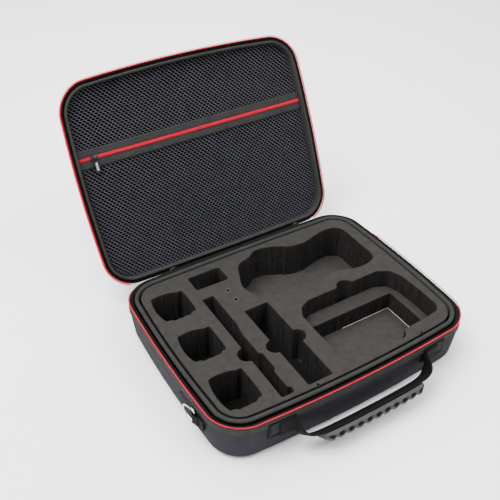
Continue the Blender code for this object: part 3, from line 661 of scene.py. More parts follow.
def build_rims():
    """Zipper tape, coil and rim binding of the tray and of the lid."""
    around = len(plan(0))
    for body, prefix, sign, place in (("tray", "base", -1, None), ("lid", "lid", 1, LID_PLACE)):
        rim = RIMS[body]
        near, wide = rim["binding"]
        band = rim_loft(rim["outer"] + TAPE_TOP + rim["inner"], sign)
        nodes = [f"{prefix}_{part}" for part in ("zipper_tape", "rim_binding", "zipper_coil")]
        obj = piece(f"{prefix}_tape_band", band, TAPE, body, "zipper_tape", nodes[0], matrix=place)
        # The tape's faces down in the gap take the painted gap shade.
        accent(obj, GAP_SHADE, range(5 * around, 10 * around))
        lip = rim_loft(binding_section(near, wide), sign)
        obj = piece(f"{prefix}_binding", lip, BINDING, body, "rim_binding", nodes[1], angle=50, matrix=place)
        # The binding's outer face, looking into the same gap, takes the painted gap shade.
        accent(obj, GAP_SHADE, range(2 * around))
        inset, half_width, half_height = (size * MM for size in rim["coil"])
        rail = Rail(inset)
        start, end = rim["gap"] * MM, rail.length - rim["gap"] * MM
        turns = int((end - start) / (1.3 * MM))
        spots = np.linspace(start, end, turns * 9 + 1)
        points, ahead, outward = rail.at(spots, PARTING_Z + sign * COIL_DROP)
        if body == "tray":
            points = pulled_down(points, outward, start, rail.length)
        coil = zipper_coil(points, ahead, outward, turns, half_width, half_height, 0.4 * MM)
        shape = {"angle": 80, "closed": False, "matrix": place}
        piece(f"{prefix}_coil", coil, RED, body, "red_coil", nodes[2], **shape)
        rows = []
        seams = [(rim["seam"], 13.2, 0, 3), (near + 1.4, 0.5, -sign, near + 1.4)]
        seams.append((wide - 1.7, 0.6, -sign, wide))
        for inset, depth, normal, run in seams:
            level = PARTING_Z + sign * depth * MM
            rows.append(rail_stitches(inset * MM, level, normal, Rail(run * MM).length))
        sew(f"{prefix}_rim_stitching", rows, body, "rim_binding", place)


# ---------------------------------------------------------------- foam insert


def anticlockwise(points):
    points = np.array(points, float)
    x, y = points[:, 0], points[:, 1]
    area = (x * np.roll(y, -1) - np.roll(x, -1) * y).sum()
    return points if area > 0 else points[::-1]


def filleted(points, radius, steps=5):
    """A polygon with its corners rounded."""
    points = np.array(points, float)
    out = []
    for before, point, after in zip(np.roll(points, 1, 0), points, np.roll(points, -1, 0)):
        back, ahead = before - point, after - point
        reach = min(radius, 0.48 * np.linalg.norm(back), 0.48 * np.linalg.norm(ahead))
        a = point + back / np.linalg.norm(back) * reach
        b = point + ahead / np.linalg.norm(ahead) * reach
        for t in np.linspace(0, 1, steps):
            out.append((1 - t) ** 2 * a + 2 * t * (1 - t) * point + t**2 * b)
    return np.array(out)


def resampled(points, spacing):
    lengths = measured(points, True)
    ends = np.vstack([points, points[:1]])
    count = max(8, int(lengths[-1] / spacing))
    s = np.arange(count) * lengths[-1] / count
    return np.column_stack([np.interp(s, lengths, ends[:, k]) for k in (0, 1)])


def relaxed(points, rounds):
    for _ in range(rounds):
        points = 0.5 * points + 0.25 * (np.roll(points, 1, 0) + np.roll(points, -1, 0))
    return points


def outward_of(loop):
    ahead = np.roll(loop, -1, axis=0) - np.roll(loop, 1, axis=0)
    ahead /= np.linalg.norm(ahead, axis=1)[:, None]
    return np.column_stack([ahead[:, 1], -ahead[:, 0]])


def inside(points, loop):
    """Which points lie inside the closed loop."""
    x, y = points[:, 0][:, None], points[:, 1][:, None]
    x1, y1 = loop[:, 0], loop[:, 1]
    x2, y2 = np.roll(x1, -1), np.roll(y1, -1)
    crosses = (y1 > y) != (y2 > y)
    safe = np.where(y2 == y1, 1, y2 - y1)
    return (crosses & (x < (x2 - x1) * (y - y1) / safe + x1)).sum(1) % 2 == 1


# Outlines of the wells, in millimetres.


def battery_outline(x, y, half_y):
    """One battery well: bowed sides, and small steps along its front edge."""
    half_x, bow = 20.5, 4
    front = []
    for s in np.linspace(-1, 1, 9):
        step = 2.2 if abs(s) > 0.7 else (-1.6 if abs(s) in (0.5, 0.0) else -0.4)
        front.append((half_x * 0.98 * s, -half_y + step))
    sweep = np.linspace(-1, 1, 9)
    right = [(half_x + bow * 0.2 * (1 - s**2), half_y * 0.9 * s) for s in sweep[1:]]
    rear = [(half_x * s, half_y - 3 * s + bow * (1 - s**2) - 3) for s in -sweep[1:]]
    left = [(-half_x - bow * 0.9 * (1 - s**2), half_y * 0.92 * s) for s in -sweep[1:-1]]
    return [(x + px, y + py) for px, py in front + right + rear + left]


def slot_outlines():
    """The long narrow slot and the wide slot, with their finger notches."""
    left, right, rear, front = -95, -79.5, 63, -119.5
    narrow = [(right, rear), (left, rear)] + arc((left, -45), 11, 90, 270, 16)
    narrow += [(left, front), (right, front), (right + 1.5, front + 3), (right + 1.5, front + 8)]
    narrow += [(right - 2.5, front + 9), (right - 2.5, -82), (right + 1, -80)]
    narrow += [(right + 1, -53), (right - 3, -51), (right - 3, -14), (right, 4)]
    left, right, rear, front = -60, -27, 18, -120
    wide = [(right, rear), (left, rear)] + arc((left, -51), 10.5, 90, 270, 16)
    wide += [(left, front), (right, front)] + arc((right, -50), 10, -90, 90, 16)
    return narrow, wide


def drone_outline():
    knots = [
        (-38, 56), (-31, 78), (-20, 99), (0, 106), (10, 113), (24, 114), (44, 107), (62, 97),
        (84, 95), (104, 100), (124, 103), (141, 99), (147, 88), (147, 56), (147, 27),
        (138, 16), (118, 13), (100, 17), (86, 21), (66, 20), (46, 12), (28, 7), (12, 12),
        (0, 21.5), (-20, 24), (-29, 34),
    ]  # fmt: skip
    ring = knots[-1:] + knots + knots[:2]
    return eased(ring, 8)[8:-9]


def controller_outline():
    left, right, rear, front = -4, 153, -6, -112
    notch_x, notch_r = 76, 12
    return (
        [(right - 24, rear), (notch_x + notch_r, rear)]
        + arc((notch_x, rear - 3), notch_r, 20, 160, 14)
        + [(notch_x - notch_r, rear), (left + 22, rear)]
        + [(left + 8, rear - 7), (left + 1, rear - 20), (left, rear - 48)]
        + [(left + 1, front + 14), (left + 9, front + 5), (left + 28, front)]
        + [(notch_x - notch_r, front + 1)]
        + arc((notch_x, front + 5), notch_r, 200, 340, 14)
        + [(notch_x + notch_r, front + 4), (right - 30, front + 6)]
        + [(right - 7, front + 9), (right - 1, front + 16), (right, rear - 60)]
        + [(right - 2, rear - 24), (right - 9, rear - 8)]
    )


def shelf_outline():
    rear, front, left, right = -7, -105, -2, 150
    step_y, step_x = -29, 137
    return [
        (left + 8, rear - 8), (left + 1, rear - 20), (left + 1, step_y),
        (step_x, step_y), (step_x, front + 6), (right - 6, front + 7),
        (right - 1, front + 14), (right, rear - 60), (right - 2, rear - 24),
        (right - 9, rear - 9), (right - 24, rear - 1), (left + 22, rear - 1),
    ]  # fmt: skip


def cut_loop(loop, top, low, away, edge, ripple):
    """Rings of one cut edge, from the flat top round and down the wall. away is -1 inside a well."""
    normal = outward_of(loop)
    flat = loop - away * normal * edge
    lengths = measured(loop, True)
    knots = max(6, int(lengths[-1] / (3.2 * MM)))
    wander = np.interp(lengths[:-1], np.linspace(0, lengths[-1], knots + 1), random.normal(size=knots + 1))
    rings = [np.column_stack([flat, np.full(len(loop), top)])]
    for angle in np.radians((22, 45, 68, 90)):
        out = flat + away * normal * edge * math.sin(angle)
        rings.append(np.column_stack([out, np.full(len(loop), top - edge * (1 - math.cos(angle)))]))
    for t in (0.06, 0.16, 0.3, 0.5, 0.75, 1.0):
        z = top - edge + (low - top + edge) * t
        shift = ripple * wander * min(1, 5 * t)
        rings.append(np.column_stack([loop + normal * shift[:, None], np.full(len(loop), z)]))
    return flat, np.array(rings)


def foam_block(outer, wells, top, low, edge=0.9 * MM):
    """A foam block with wells cut in it. wells are (outline, floor or None for through)."""
    parts, flats = [], []
    flat, rings = cut_loop(outer, top, low, 1, edge, 0.0)
    flats.append(flat)
    parts.append(lofted(rings))
    for outline, floor in wells:
        well_edge = min(edge, 0.5 * MM) if len(outline) < 40 else edge
        flat, rings = cut_loop(outline, top, low if floor is None else floor, -1, well_edge, 0.32 * MM)
        flats.append(flat)
        parts.append(lofted(rings, caps=() if floor is None else (-1,)))
    lowest, highest = outer.min(0), outer.max(0)
    xs = np.arange(lowest[0], highest[0], 9 * MM)
    ys = np.arange(lowest[1], highest[1], 9 * MM)
    filling = np.array([(x, y) for x in xs for y in ys])
    keep = inside(filling, resampled(flats[0], 4 * MM))
    for loop in flats[1:]:
        keep &= ~inside(filling, loop)
    edges, start = [], 0
    for loop in flats:
        count = len(loop)
        edges += [(start + i, start + (i + 1) % count) for i in range(count)]
        start += count
    points = np.vstack(flats + [filling[keep]])
    found = delaunay_2d_cdt([Vector(p) for p in points], edges, [], 0, 1e-7)
    flat_points = np.array([tuple(p) for p in found[0]])
    triangles = np.array([tuple(f) for f in found[2]])
    centres = flat_points[triangles].mean(1)
    keep = inside(centres, flats[0])
    for loop in flats[1:]:
        keep &= ~inside(centres, loop)
    triangles = triangles[keep]
    cover = np.column_stack([flat_points, np.full(len(flat_points), top)])
    used, index = np.unique(triangles, return_inverse=True)
    parts.append((cover[used], index.reshape(-1, 3).tolist(), [(0, 0)] * (3 * len(triangles))))
    return joined(parts)


def cut_line(outline, corner):
    """A well's outline in metres, with its corners rounded and its points evenly spaced."""
    outline = filleted(anticlockwise(np.array(outline) * MM), corner * MM)
    return relaxed(resampled(outline, CUT_SPACING), 1)


def build_foam():
    through = [battery_outline(-130, 72.5, 23.5), battery_outline(-131, -3.5, 24)]
    through += [battery_outline(-132, -82.5, 26), *slot_outlines(), controller_outline()]
    wells = [(cut_line(outline, 1.5), None) for outline in through]
    wells.append((resampled(anticlockwise(drone_outline() * MM), CUT_SPACING), None))
    wells.append((cut_line([(-92, 82), (-46, 82), (-46, 109), (-92, 109)], 3), FOAM_TOP - 26 * MM))
    pins = [(-58 * MM, 62 * MM), (-58 * MM, 42 * MM)]
    for centre in pins:
        wells.append((np.array(arc(centre, 2.2 * MM, 0, 345, 23)), FOAM_TOP - 14 * MM))
    block = foam_block(resampled(plan(FOAM_INSET), 3 * MM), wells, FOAM_TOP, PAD_TOP + 0.05 * MM)
    nodes = ["foam_batteries", "foam_slot", "foam_charger", "foam_accessory", "foam_drone", "foam_controller"]
    piece("foam_insert", block, FOAM, "tray", "foam", *nodes, angle=35, merge=True)
    # Thin pale rings round the pin holes: their colour is a painted highlight on the holes' rims.
    rims = []
    for centre in pins:
        circle = np.array(arc(centre, 2.75 * MM, 0, 345, 23))
        ring = np.column_stack([circle, np.full(len(circle), FOAM_TOP + 0.05 * MM)])
        rims.append(tube(ring, 0.3 * MM, 6, UPRIGHT, True))
    piece("pin_hole_rims", joined(rims), RIM_HIGHLIGHT_FOAM, "tray", "foam", angle=80, closed=False)
    section = [(120, 4.3), (16, 4.3), (15.2, 5), (15, 8.2), (15.6, 9)]
    section += [(17, PAD_TOP / MM), (120, PAD_TOP / MM)]
    pad = plan_loft([(inset * MM, z * MM) for inset, z in section], False, (0, -1))
    piece("floor_pad", pad, PAD_FOAM, "tray", "foam", "foam_floor_pad")
    shelf = foam_block(cut_line(shelf_outline(), 2.5), [], SHELF_TOP, PAD_TOP + 0.1 * MM)
    obj = piece("controller_ledge", shelf, FOAM, "tray", "foam", "controller_shelf", angle=35, merge=True)
    line = [(60, -29.6), (110, -29.6), (134.6, -29.8), (136.4, -31.5), (136.5, -60), (136.5, -98)]
    line = eased([(x * MM, y * MM, PAD_TOP + 0.3 * MM) for x, y in line], 6)
    cut = tube(line, 0.45 * MM, 6, UPRIGHT)
    piece("recess_cut_line", cut, CUT_LINE, "tray", "foam", angle=80, closed=False)


# ---------------------------------------------------------------- mesh pocket in the lid


def cloth_sag(low_y, high_y):
    """Heights of one stretched panel, held at its edges, from a cloth simulation on a coarse grid."""
    cols, rows = 45, max(9, int((high_y - low_y) / (7 * MM)))
    xs = np.linspace(-POCKET_END, POCKET_END, cols)
    ys = np.linspace(low_y, high_y, rows)
    verts = [(x, y, 0.0) for y in ys for x in xs]
    faces = [
        (r * cols + c, r * cols + c + 1, (r + 1) * cols + c + 1, (r + 1) * cols + c)
        for r in range(rows - 1)
        for c in range(cols - 1)
    ]
    sheet = mesh_object("sag_trial", (verts, faces, None), LINING, closed=False)
    held = sheet.vertex_groups.new(name="held")
    index = np.arange(rows * cols).reshape(rows, cols)
    border = {*index[0], *index[-1], *index[:, 0], *index[:, -1]}
    held.add([int(i) for i in border], 1.0, "REPLACE")
    cloth = sheet.modifiers.new("Cloth", "CLOTH")
    cloth.settings.vertex_group_mass = "held"
    cloth.settings.mass = 0.02
    cloth.settings.tension_stiffness = 6
    cloth.settings.compression_stiffness = 6
    cloth.settings.bending_stiffness = 0.4
    cloth.settings.quality = 6
    scene = bpy.context.scene
    kept = scene.gravity.copy()
    scene.gravity = LID_PLACE.to_3x3().transposed() @ Vector((0, 0, -9.81))
    for step in range(1, 19):
        scene.frame_set(step)
    moved = sheet.evaluated_get(bpy.context.evaluated_depsgraph_get()).to_mesh()
    heights = np.array([v.co.z for v in moved.vertices]).reshape(rows, cols)
    bpy.data.objects.remove(sheet)
    scene.frame_set(1)
    scene.gravity = kept
    return xs, ys, np.clip(heights, -2.2 * MM, 2.2 * MM)


def mesh_panel(name, node, low_y, high_y):
    """A knitted mesh with staggered elongated holes, stretched across the lid."""
    pitch_x, pitch_y = 6.0 * MM, 3.1 * MM
    xs, ys, sag = cloth_sag(low_y, high_y)
    centres = []
    for row in range(int((high_y - low_y) / pitch_y) + 1):
        for col in range(-30, 31):
            centres.append((col * pitch_x + (row % 2) * pitch_x / 2, low_y + row * pitch_y))
    centres = np.array(centres)
    centres = centres[inside(centres, plan(9.3 * MM))]
    cell = np.array([(0, 2), (-3, 1), (-3, -1), (0, -2), (3, -1), (3, 1)])
    cell = cell * np.array([pitch_x / 6, pitch_y / 3])
    slope = 12.0 * math.pi / 180
    lean = np.array([[math.cos(slope), -math.sin(slope)], [math.sin(slope), math.cos(slope)]])
    hole = (cell * np.array([0.82, 0.80])) @ lean.T
    rings = [(cell, 0.0), (0.5 * (cell + hole), -0.22 * MM), (hole, -0.12 * MM), (hole * 0.93, 0.5 * MM)]
    count = len(centres)
    grid = np.zeros((count, len(rings), 6, 3))
    for k, (ring, height) in enumerate(rings):
        grid[:, k, :, :2] = centres[:, None] + ring[None]
        grid[:, k, :, 2] = PARTING_Z + MESH_LOW + height
    flat = grid.reshape(-1, 3)
    fx = np.interp(flat[:, 0], xs, np.arange(len(xs)))
    fy = np.interp(flat[:, 1], ys, np.arange(len(ys)))
    ix, iy = np.minimum(fx.astype(int), len(xs) - 2), np.minimum(fy.astype(int), len(ys) - 2)
    tx, ty = fx - ix, fy - iy
    flat[:, 2] += (sag[iy, ix] * (1 - tx) + sag[iy, ix + 1] * tx) * (1 - ty)
    flat[:, 2] += (sag[iy + 1, ix] * (1 - tx) + sag[iy + 1, ix + 1] * tx) * ty
    faces = []
    for base in range(0, count * len(rings) * 6, 6):
        if base // 6 % len(rings) < len(rings) - 1:
            for i in range(6):
                n = (i + 1) % 6
                faces.append((base + i, base + n, base + 6 + n, base + 6 + i))
    part = (flat, faces, flat[np.array(faces).ravel()][:, :2])
    obj = piece(name, part, MESH_YARN, "lid", "pocket_mesh", node, angle=75, merge=True, matrix=LID_PLACE)


# The section of the pocket's zipper tape in millimetres: (distance from the zipper, height over its face).
POCKET_TAPE = [(2.5, 0.9), (2.7, 0.1), (4.2, 0), (4.6, 0.35), (5.0, 0), (7.6, 0), (8.0, 0.35), (8.4, 0)]
POCKET_TAPE += [(11.0, 0), (11.9, 0.25), (12.1, 1.0), (11.6, 1.3), (2.6, 1.3)]


def build_pocket():
    mesh_panel("pocket_mesh_front", "mesh_panel_front", -134 * MM, POCKET_Y - 3 * MM)
    mesh_panel("pocket_mesh_rear", "mesh_panel_rear", POCKET_Y + 3 * MM, 128 * MM)
    face = PARTING_Z + POCKET_TAPE_LOW
    xs = np.linspace(-POCKET_END, POCKET_END, 60)
    wave = 0.18 * MM * np.sin(xs * 61) * np.cos(xs * 23)
    for side, sign in (("front", -1), ("rear", 1)):
        grid = []
        for out, height in POCKET_TAPE:
            y = np.full(len(xs), POCKET_Y + sign * out * MM) + wave
            grid.append(np.column_stack([xs, y, np.full(len(xs), face + height * MM)]))
        tape = lofted(np.array(grid), True, False)
        name = f"pocket_tape_{side}"
        obj = piece(f"{name}_weave", tape, TAPE, "lid", "zipper_tape", name, matrix=LID_PLACE)
        rows = []
        for out in (3.4, 10.0):
            start = np.array([-POCKET_END + 2 * MM, POCKET_Y + sign * out * MM, face - 0.02 * MM])
            end = start * [-1, 1, 1]
            rows.append(line_stitches(start, end, (0, 0, -1), 2.6 * MM, 0.24 * MM))
        sew(f"pocket_stitching_{side}", rows, "lid", "zipper_tape", LID_PLACE)
    turns = int(2 * POCKET_END / (1.25 * MM))
    xs = np.linspace(-POCKET_END, POCKET_END, turns * 9 + 1)
    points = np.column_stack([xs, np.full(len(xs), POCKET_Y), np.full(len(xs), face + 0.45 * MM)])
    ahead = np.tile([1.0, 0.0, 0.0], (len(xs), 1))
    outward = np.tile([0.0, 1.0, 0.0], (len(xs), 1))
    coil = zipper_coil(points, ahead, outward, turns, 2.15 * MM, 0.6 * MM, 0.44 * MM)
    shape = {"angle": 80, "closed": False, "matrix": LID_PLACE}
    piece("pocket_coil", coil, RED, "lid", "red_coil", "pocket_zipper_coil", **shape)


# ---------------------------------------------------------------- zipper sliders and pulls


def upright(part):
    """Turns a part drawn in (x, z) with thickness z into the slider's frame, where thickness is y."""
    return turned(part, Matrix.Rotation(math.radians(90), 4, "X"))


def mirrored(path):
    """A path in (x, z) and its mirror image in x, as one outline."""
    return path + [(-x, z) for x, z in reversed(path)]


def zipper_slider(name, node, pivot, body):
    outline = [(-5, -2.6), (-2, -3.7), (3.2, -3.4), (5, -2.9), (5, 2.9), (3.2, 3.4), (-2, 3.7), (-5, 2.6)]
    outline = filleted(outline, 1.4)
    plate = upright(bevelled(outline * MM, -3.4 * MM, -1.5 * MM, 0.45 * MM))
    arch = []
    for angle in np.radians(np.linspace(0, 180, 17)):
        arch.append((0, 1.5 * MM - 2.95 * MM * math.sin(angle), 2.95 * MM * math.cos(angle)))
    across = np.tile([1.35 * MM, 0.0, 0.0], (len(arch), 1))
    bridge = ribbon(arch, across, 0.8 * MM, 0.8)
    piece(name, joined([plate, bridge]), ZINC, body, "black_zinc", node, matrix=pivot)


def zipper_pull(name, node, pivot, body, length, material, slot):
    half = 2.7 * MM
    frame = [(-half + 0.5 * MM, -4.9 * MM), (-half + 0.5 * MM, -1.2 * MM)]
    frame += arc((0, -1.0 * MM), half - 0.55 * MM, 180, 0, 12)
    frame += [(half - 0.5 * MM, -1.2 * MM), (half - 0.5 * MM, -4.9 * MM)]
    loop = tube([(x, 0, min(z, 0.1 * MM)) for x, z in frame], 0.5 * MM, 8, np.array([0.0, 1.0, 0.0]))
    outline = filleted(mirrored([(-half, -4.7 * MM), (-half, -length)]), 1.6 * MM)
    plate = upright(bevelled(outline, -0.6 * MM, 0.6 * MM, 0.35 * MM))
    inner = filleted(mirrored([(-1.5 * MM, -7 * MM), (-1.5 * MM, -length + 2 * MM)]), 1 * MM)
    raised = upright(bevelled(inner, -0.8 * MM, 0.8 * MM, 0.2 * MM))
    obj = piece(name, joined([loop, plate, raised]), material, body, slot, node, matrix=pivot)
    accent(obj, ZINC, range(len(loop[1]) + len(plate[1])))


def build_zippers():
    spot = Vector(JOINTS["pocket_pull_flip"]["pos_m"])
    quarter = Matrix.Rotation(math.radians(90), 4, "X")
    pivot = Matrix.Translation(spot) @ Matrix.Rotation(-LID_OPEN, 4, "X") @ quarter
    zipper_slider("pocket_slider_body", "pocket_slider", pivot, "pocket_slider")
    zipper_pull("pocket_pull_tab", "pocket_pull", pivot, "pocket_pull", 19 * MM, STEEL, "bright_steel")
    for side in ("left", "right"):
        spot = Vector(JOINTS[f"main_pull_{side}_flip"]["pos_m"])
        pivot = Matrix.Translation(spot) @ Matrix.Rotation(math.radians(180), 4, "Z")
        zipper_slider(f"main_slider_{side}_body", f"main_slider_{side}", pivot, f"main_slider_{side}")
        tab = f"main_pull_{side}"
        zipper_pull(f"{tab}_tab", tab, pivot, tab, 26 * MM, ZINC, "black_zinc")


# ---------------------------------------------------------------- hinge strip


def build_hinge_strip():
    """The wide fabric strip from the tray's rear wall, over the fold, to the lid's rear wall."""
    flap = [(-1.35 * MM, h) for h in np.array((4, 10, 16, 22, 28, 34, 38.6)) * MM]
    wall = HALF_DEPTH + REAR_BOW + 1.35 * MM
    path = [(wall, z * MM) for z in (25.2, 28, 31, 34, 36.6)]
    path += [(wall + 0.5 * MM, 38.8 * MM), (wall + 1.9 * MM, 40.9 * MM)]
    for y, z in flap:
        spot = LID_PLACE @ Vector((0, HINGE.y + y, HINGE.z + z))
        path.append((spot.y, spot.z))
    path = eased([(0.0, y, z) for y, z in path], 4)
    face = np.array([path + np.array([x, 0, 0]) for x in np.linspace(-88 * MM, 88 * MM, 45)])
    ahead = np.gradient(path, axis=0)
    normal = np.cross(ahead, [1.0, 0, 0])
    normal /= np.linalg.norm(normal, axis=1)[:, None]
    grid = np.concatenate([face + normal * 0.35 * MM, (face - normal * 0.35 * MM)[::-1]])
    obj = mesh_object("hinge_fabric", lofted(grid, True, False), BINDING, 50)
    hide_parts("hinge_strip", "hinge_strip_lid_flap")
    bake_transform(obj)
    out = wall + 0.75 * MM
    rows = [line_stitches((-86 * MM, out, z), (86 * MM, out, z), (0, 1, 0)) for z in (27 * MM, 34 * MM)]
    sew("hinge_tray_stitching", rows, "tray", "rim_binding")
    out = HINGE.y - 0.65 * MM
    rows = []
    for h in (25 * MM, 36 * MM):
        rows.append(line_stitches((-86 * MM, out, HINGE.z + h), (86 * MM, out, HINGE.z + h), (0, 1, 0)))
    sew("hinge_lid_stitching", rows, "lid", "rim_binding", LID_PLACE)


# ---------------------------------------------------------------- handle


def front_y(x):
    return -HALF_DEPTH * (1 + FRONT_BOW / HALF_DEPTH * (1 - (x / HALF_LENGTH) ** 2))


HANDLE_KNOTS = [(-92, 0), (-92, 5), (-90, 11), (-85, 16.5), (-76, 19.5), (-60, 21), (-30, 21.8)]


def handle_curve():
    knots = HANDLE_KNOTS + [(0, 22)] + [(-x, out) for x, out in reversed(HANDLE_KNOTS)]
    return eased(np.array(knots) * MM, 8)


def strap_root(sign):
    """The strap's centre line on the front wall, from its end towards the handle."""
    root = []
    for x, off in ((112, 2.7), (106, 2.8), (101, 3.0), (97, 3.4), (94, 3.8)):
        root.append(Vector((sign * x * MM, front_y(x * MM) - off * MM, HANDLE_PIVOT.z)))
    return root


def build_handle():
    inward = HANDLE_PLACE.to_3x3() @ Vector((0, 0, 1))
    flat_on_wall = [Vector((0, 0, 10.8 * MM))] * 5
    path, across = strap_root(-1), list(flat_on_wall)
    for x, out in handle_curve():
        turn = min(1, out / (11 * MM))
        turn = turn * turn * (3 - 2 * turn)
        direction = (Vector((0, 0, 1)) * (1 - turn) + inward * turn).normalized()
        spot = HANDLE_PLACE @ Vector((x, -out, 0))
        half = (10.8 - 2.2 * math.exp(-((out - 6 * MM) / (5 * MM)) ** 2)) * MM
        path.append(spot)
        across.append(direction * half)
    path += strap_root(1)[::-1]
    across += flat_on_wall
    path, across = np.array([tuple(p) for p in path]), np.array([tuple(a) for a in across])
    for _ in range(3):
        path[1:-1] = 0.5 * path[1:-1] + 0.25 * (path[:-2] + path[2:])
        across[1:-1] = 0.5 * across[1:-1] + 0.25 * (across[:-2] + across[2:])
    obj = mesh_object("handle_webbing", ribbon(path, across, 2.2 * MM), WEBBING, 50)
    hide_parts("handle_strap")
    out = HANDLE_PLACE.to_3x3() @ Vector((0, -1, 0))
    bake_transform(obj)


def build_grip():
    curve = handle_curve()
    half_length, ribs = 70 * MM, 11
    period = 2 * half_length / ribs
    turns = np.arange(56) * math.tau / 56
    grid, wear, hole = [], [], []
    for x in np.linspace(-half_length, half_length, 161):
        inner = np.interp(x, curve[:, 0], curve[:, 1]) + 1.2 * MM
        from_end = half_length - abs(x)
        end = min(1.0, from_end / (9 * MM))
        size = 0.55 + 0.45 * math.sin(end * math.pi / 2)
        flare = 0.9 * MM * math.exp(-((from_end - 7 * MM) / (3 * MM)) ** 2)
        rib = math.cos(math.tau * x / period) * end
        to_hole = (x / period + 0.5) % 1 - 0.5
        row = []
        for turn in turns:
            c, s = math.cos(turn), math.sin(turn)
            o = 5.8 * MM * math.copysign(abs(c) ** 0.55, c)
            v = 11.8 * MM * math.copysign(abs(s) ** 0.45, s)
            outer = max(0.0, c)
            o += 1.3 * MM * (rib - 0.6) * outer ** 0.6
            face = max(0.0, (abs(v) - 9 * MM) / (2.6 * MM))
            v *= 1 - 0.3 * outer**1.5
            ridge = math.exp(-((o + 2.2 * MM) / (0.8 * MM)) ** 2)
            ridge += math.exp(-((o + 4.6 * MM) / (0.7 * MM)) ** 2)
            well = math.exp(-((to_hole * period / (3.1 * MM)) ** 2 + ((o - 0.9 * MM) / (1.9 * MM)) ** 2) ** 2)
            lift = 0.55 * MM * ridge + flare * 0.6 - 3.2 * MM * well * end * min(1, face)
            v += lift if v > 0 else -lift
            row.append((x, -(inner + 5.8 * MM * size + o * size), v * (0.72 + 0.28 * size)))
            wear.append(max(0.0, rib) * outer + 0.5 * min(1.0, ridge))
            # hole carries the painted shade for the dips in the grip's faces.
            hole.append(1.6 * well * min(1.0, face) * end)
        grid.append(row)
    part = lofted(np.array(grid), False, True, (0, -1))
    shape = {"angle": 60, "matrix": HANDLE_PLACE}
    obj = piece("grip_sleeve", part, RUBBER, "handle", "grip_rubber", "handle_grip", **shape)
    for name, values in (("wear", wear), ("hole", hole)):
        layer = obj.data.attributes.new(name, "FLOAT", "POINT")
        layer.data.foreach_set("value", np.array(values, np.float32))


def wall_inset(z):
    """How far the tray's wall stands in from the plan outline at this height."""
    t = (z - 11 * MM) / (PARTING_Z - 18.4 * MM)
    return 3.4 * MM * (1 - t) + 0.2 * MM - 0.7 * MM * math.sin(math.pi * t)


def soft_patch(corners, thick, steps=(19, 15)):
    """A padded panel between four corners (points going round), bulging along the outward normal."""
    a, b, c, d = (np.array(p, float) for p in corners)
    normal = np.cross(b - a, d - a)
    normal /= np.linalg.norm(normal)
    cols, rows = steps
    grid = []
    for j in range(rows):
        row = []
        for i in range(cols):
            s, t = i / (cols - 1), j / (rows - 1)
            base = (a * (1 - s) + b * s) * (1 - t) + (d * (1 - s) + c * s) * t
            edge = min(s, 1 - s, t, 1 - t)
            border = 0.75 if edge < 0.02 else (1.25 if edge < 0.14 else 0.55)
            crown = 0.5 * math.sin(math.pi * s) * math.sin(math.pi * t)
            lift = thick * (0.15 if edge <= 0 else border + crown)
            row.append(base + normal * lift)
        grid.append(row)
    return lofted(np.array(grid), False, False), normal


def panel_stitches(corners, normal, lift, inset):
    """A stitched rectangle and its diagonals, drawn inside a panel's corners."""
    corners = [np.array(p, float) for p in corners]
    centre = sum(corners) / 4
    inner = [centre + (p - centre) * (1 - inset) + normal * lift for p in corners]
    rows = [line_stitches(p, q, normal) for p, q in zip(inner, inner[1:] + inner[:1])]
    rows += [line_stitches(inner[0], inner[2], normal), line_stitches(inner[1], inner[3], normal)]
    return rows


def soft_panel(name, node, corners, thick):
    """A padded panel sewn to the tray, and its outward normal."""
    patch, normal = soft_patch(corners, thick)
    obj = piece(name, patch, SHELL, "tray", "shell_fabric", node, angle=50, closed=False)
    return obj, normal


def build_patches():
    for side, sign in (("left", -1), ("right", 1)):
        low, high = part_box(f"handle_patch_{side}")
        near, far = (90 * MM, 126 * MM)
        xs = (near, far) if sign > 0 else (-far, -near)
        order = ((0, low.z), (1, low.z), (1, high.z), (0, high.z))
        corners = [(xs[k], front_y(xs[k]) + wall_inset(z) - 0.5 * MM, z) for k, z in order]
        obj, normal = soft_panel(f"handle_pad_{side}", f"handle_patch_{side}", corners, 1.5 * MM)
        cells = np.arange(14 * 18).reshape(14, 18)
        accent(obj, WEBBING, set(cells.ravel()) - set(cells[2:-2, 2:-2].ravel()))
        rows = panel_stitches(corners, normal, 1.95 * MM, 0.12)[:4]
        sew(f"handle_pad_stitching_{side}", rows, "tray", "shell_fabric")


# ---------------------------------------------------------------- D-rings


def side_x(y):
    return HALF_LENGTH * (1 + SIDE_BOW / HALF_LENGTH * (1 - (y / HALF_DEPTH) ** 2))


def build_ring(side, sign, spot):
    """The steel D, which swings on the bar that its loop holds."""
    half, reach = 11 * MM, 21 * MM
    points = [(0, 0, z) for z in np.linspace(-half + 2.2 * MM, half - 2.2 * MM, 9)]
    for angle in np.radians(np.linspace(74, -74, 41)):
        points.append((0, reach * (math.cos(angle) - 0.28) / 0.72, half * math.sin(angle) / 0.961))
    points = relaxed(np.array(points), 2)
    splay = Matrix.Rotation(-sign * math.radians(8), 4, "Z")
    ring = tube(points, 1.25 * MM, 14, np.array([1.0, 0.0, 0.0]), True)
    shape = {"angle": 80, "closed": False, "matrix": Matrix.Translation(spot) @ splay}
    piece(f"d_ring_{side}_wire", ring, STEEL, f"ring_{side}", "bright_steel", f"d_ring_{side}", **shape)


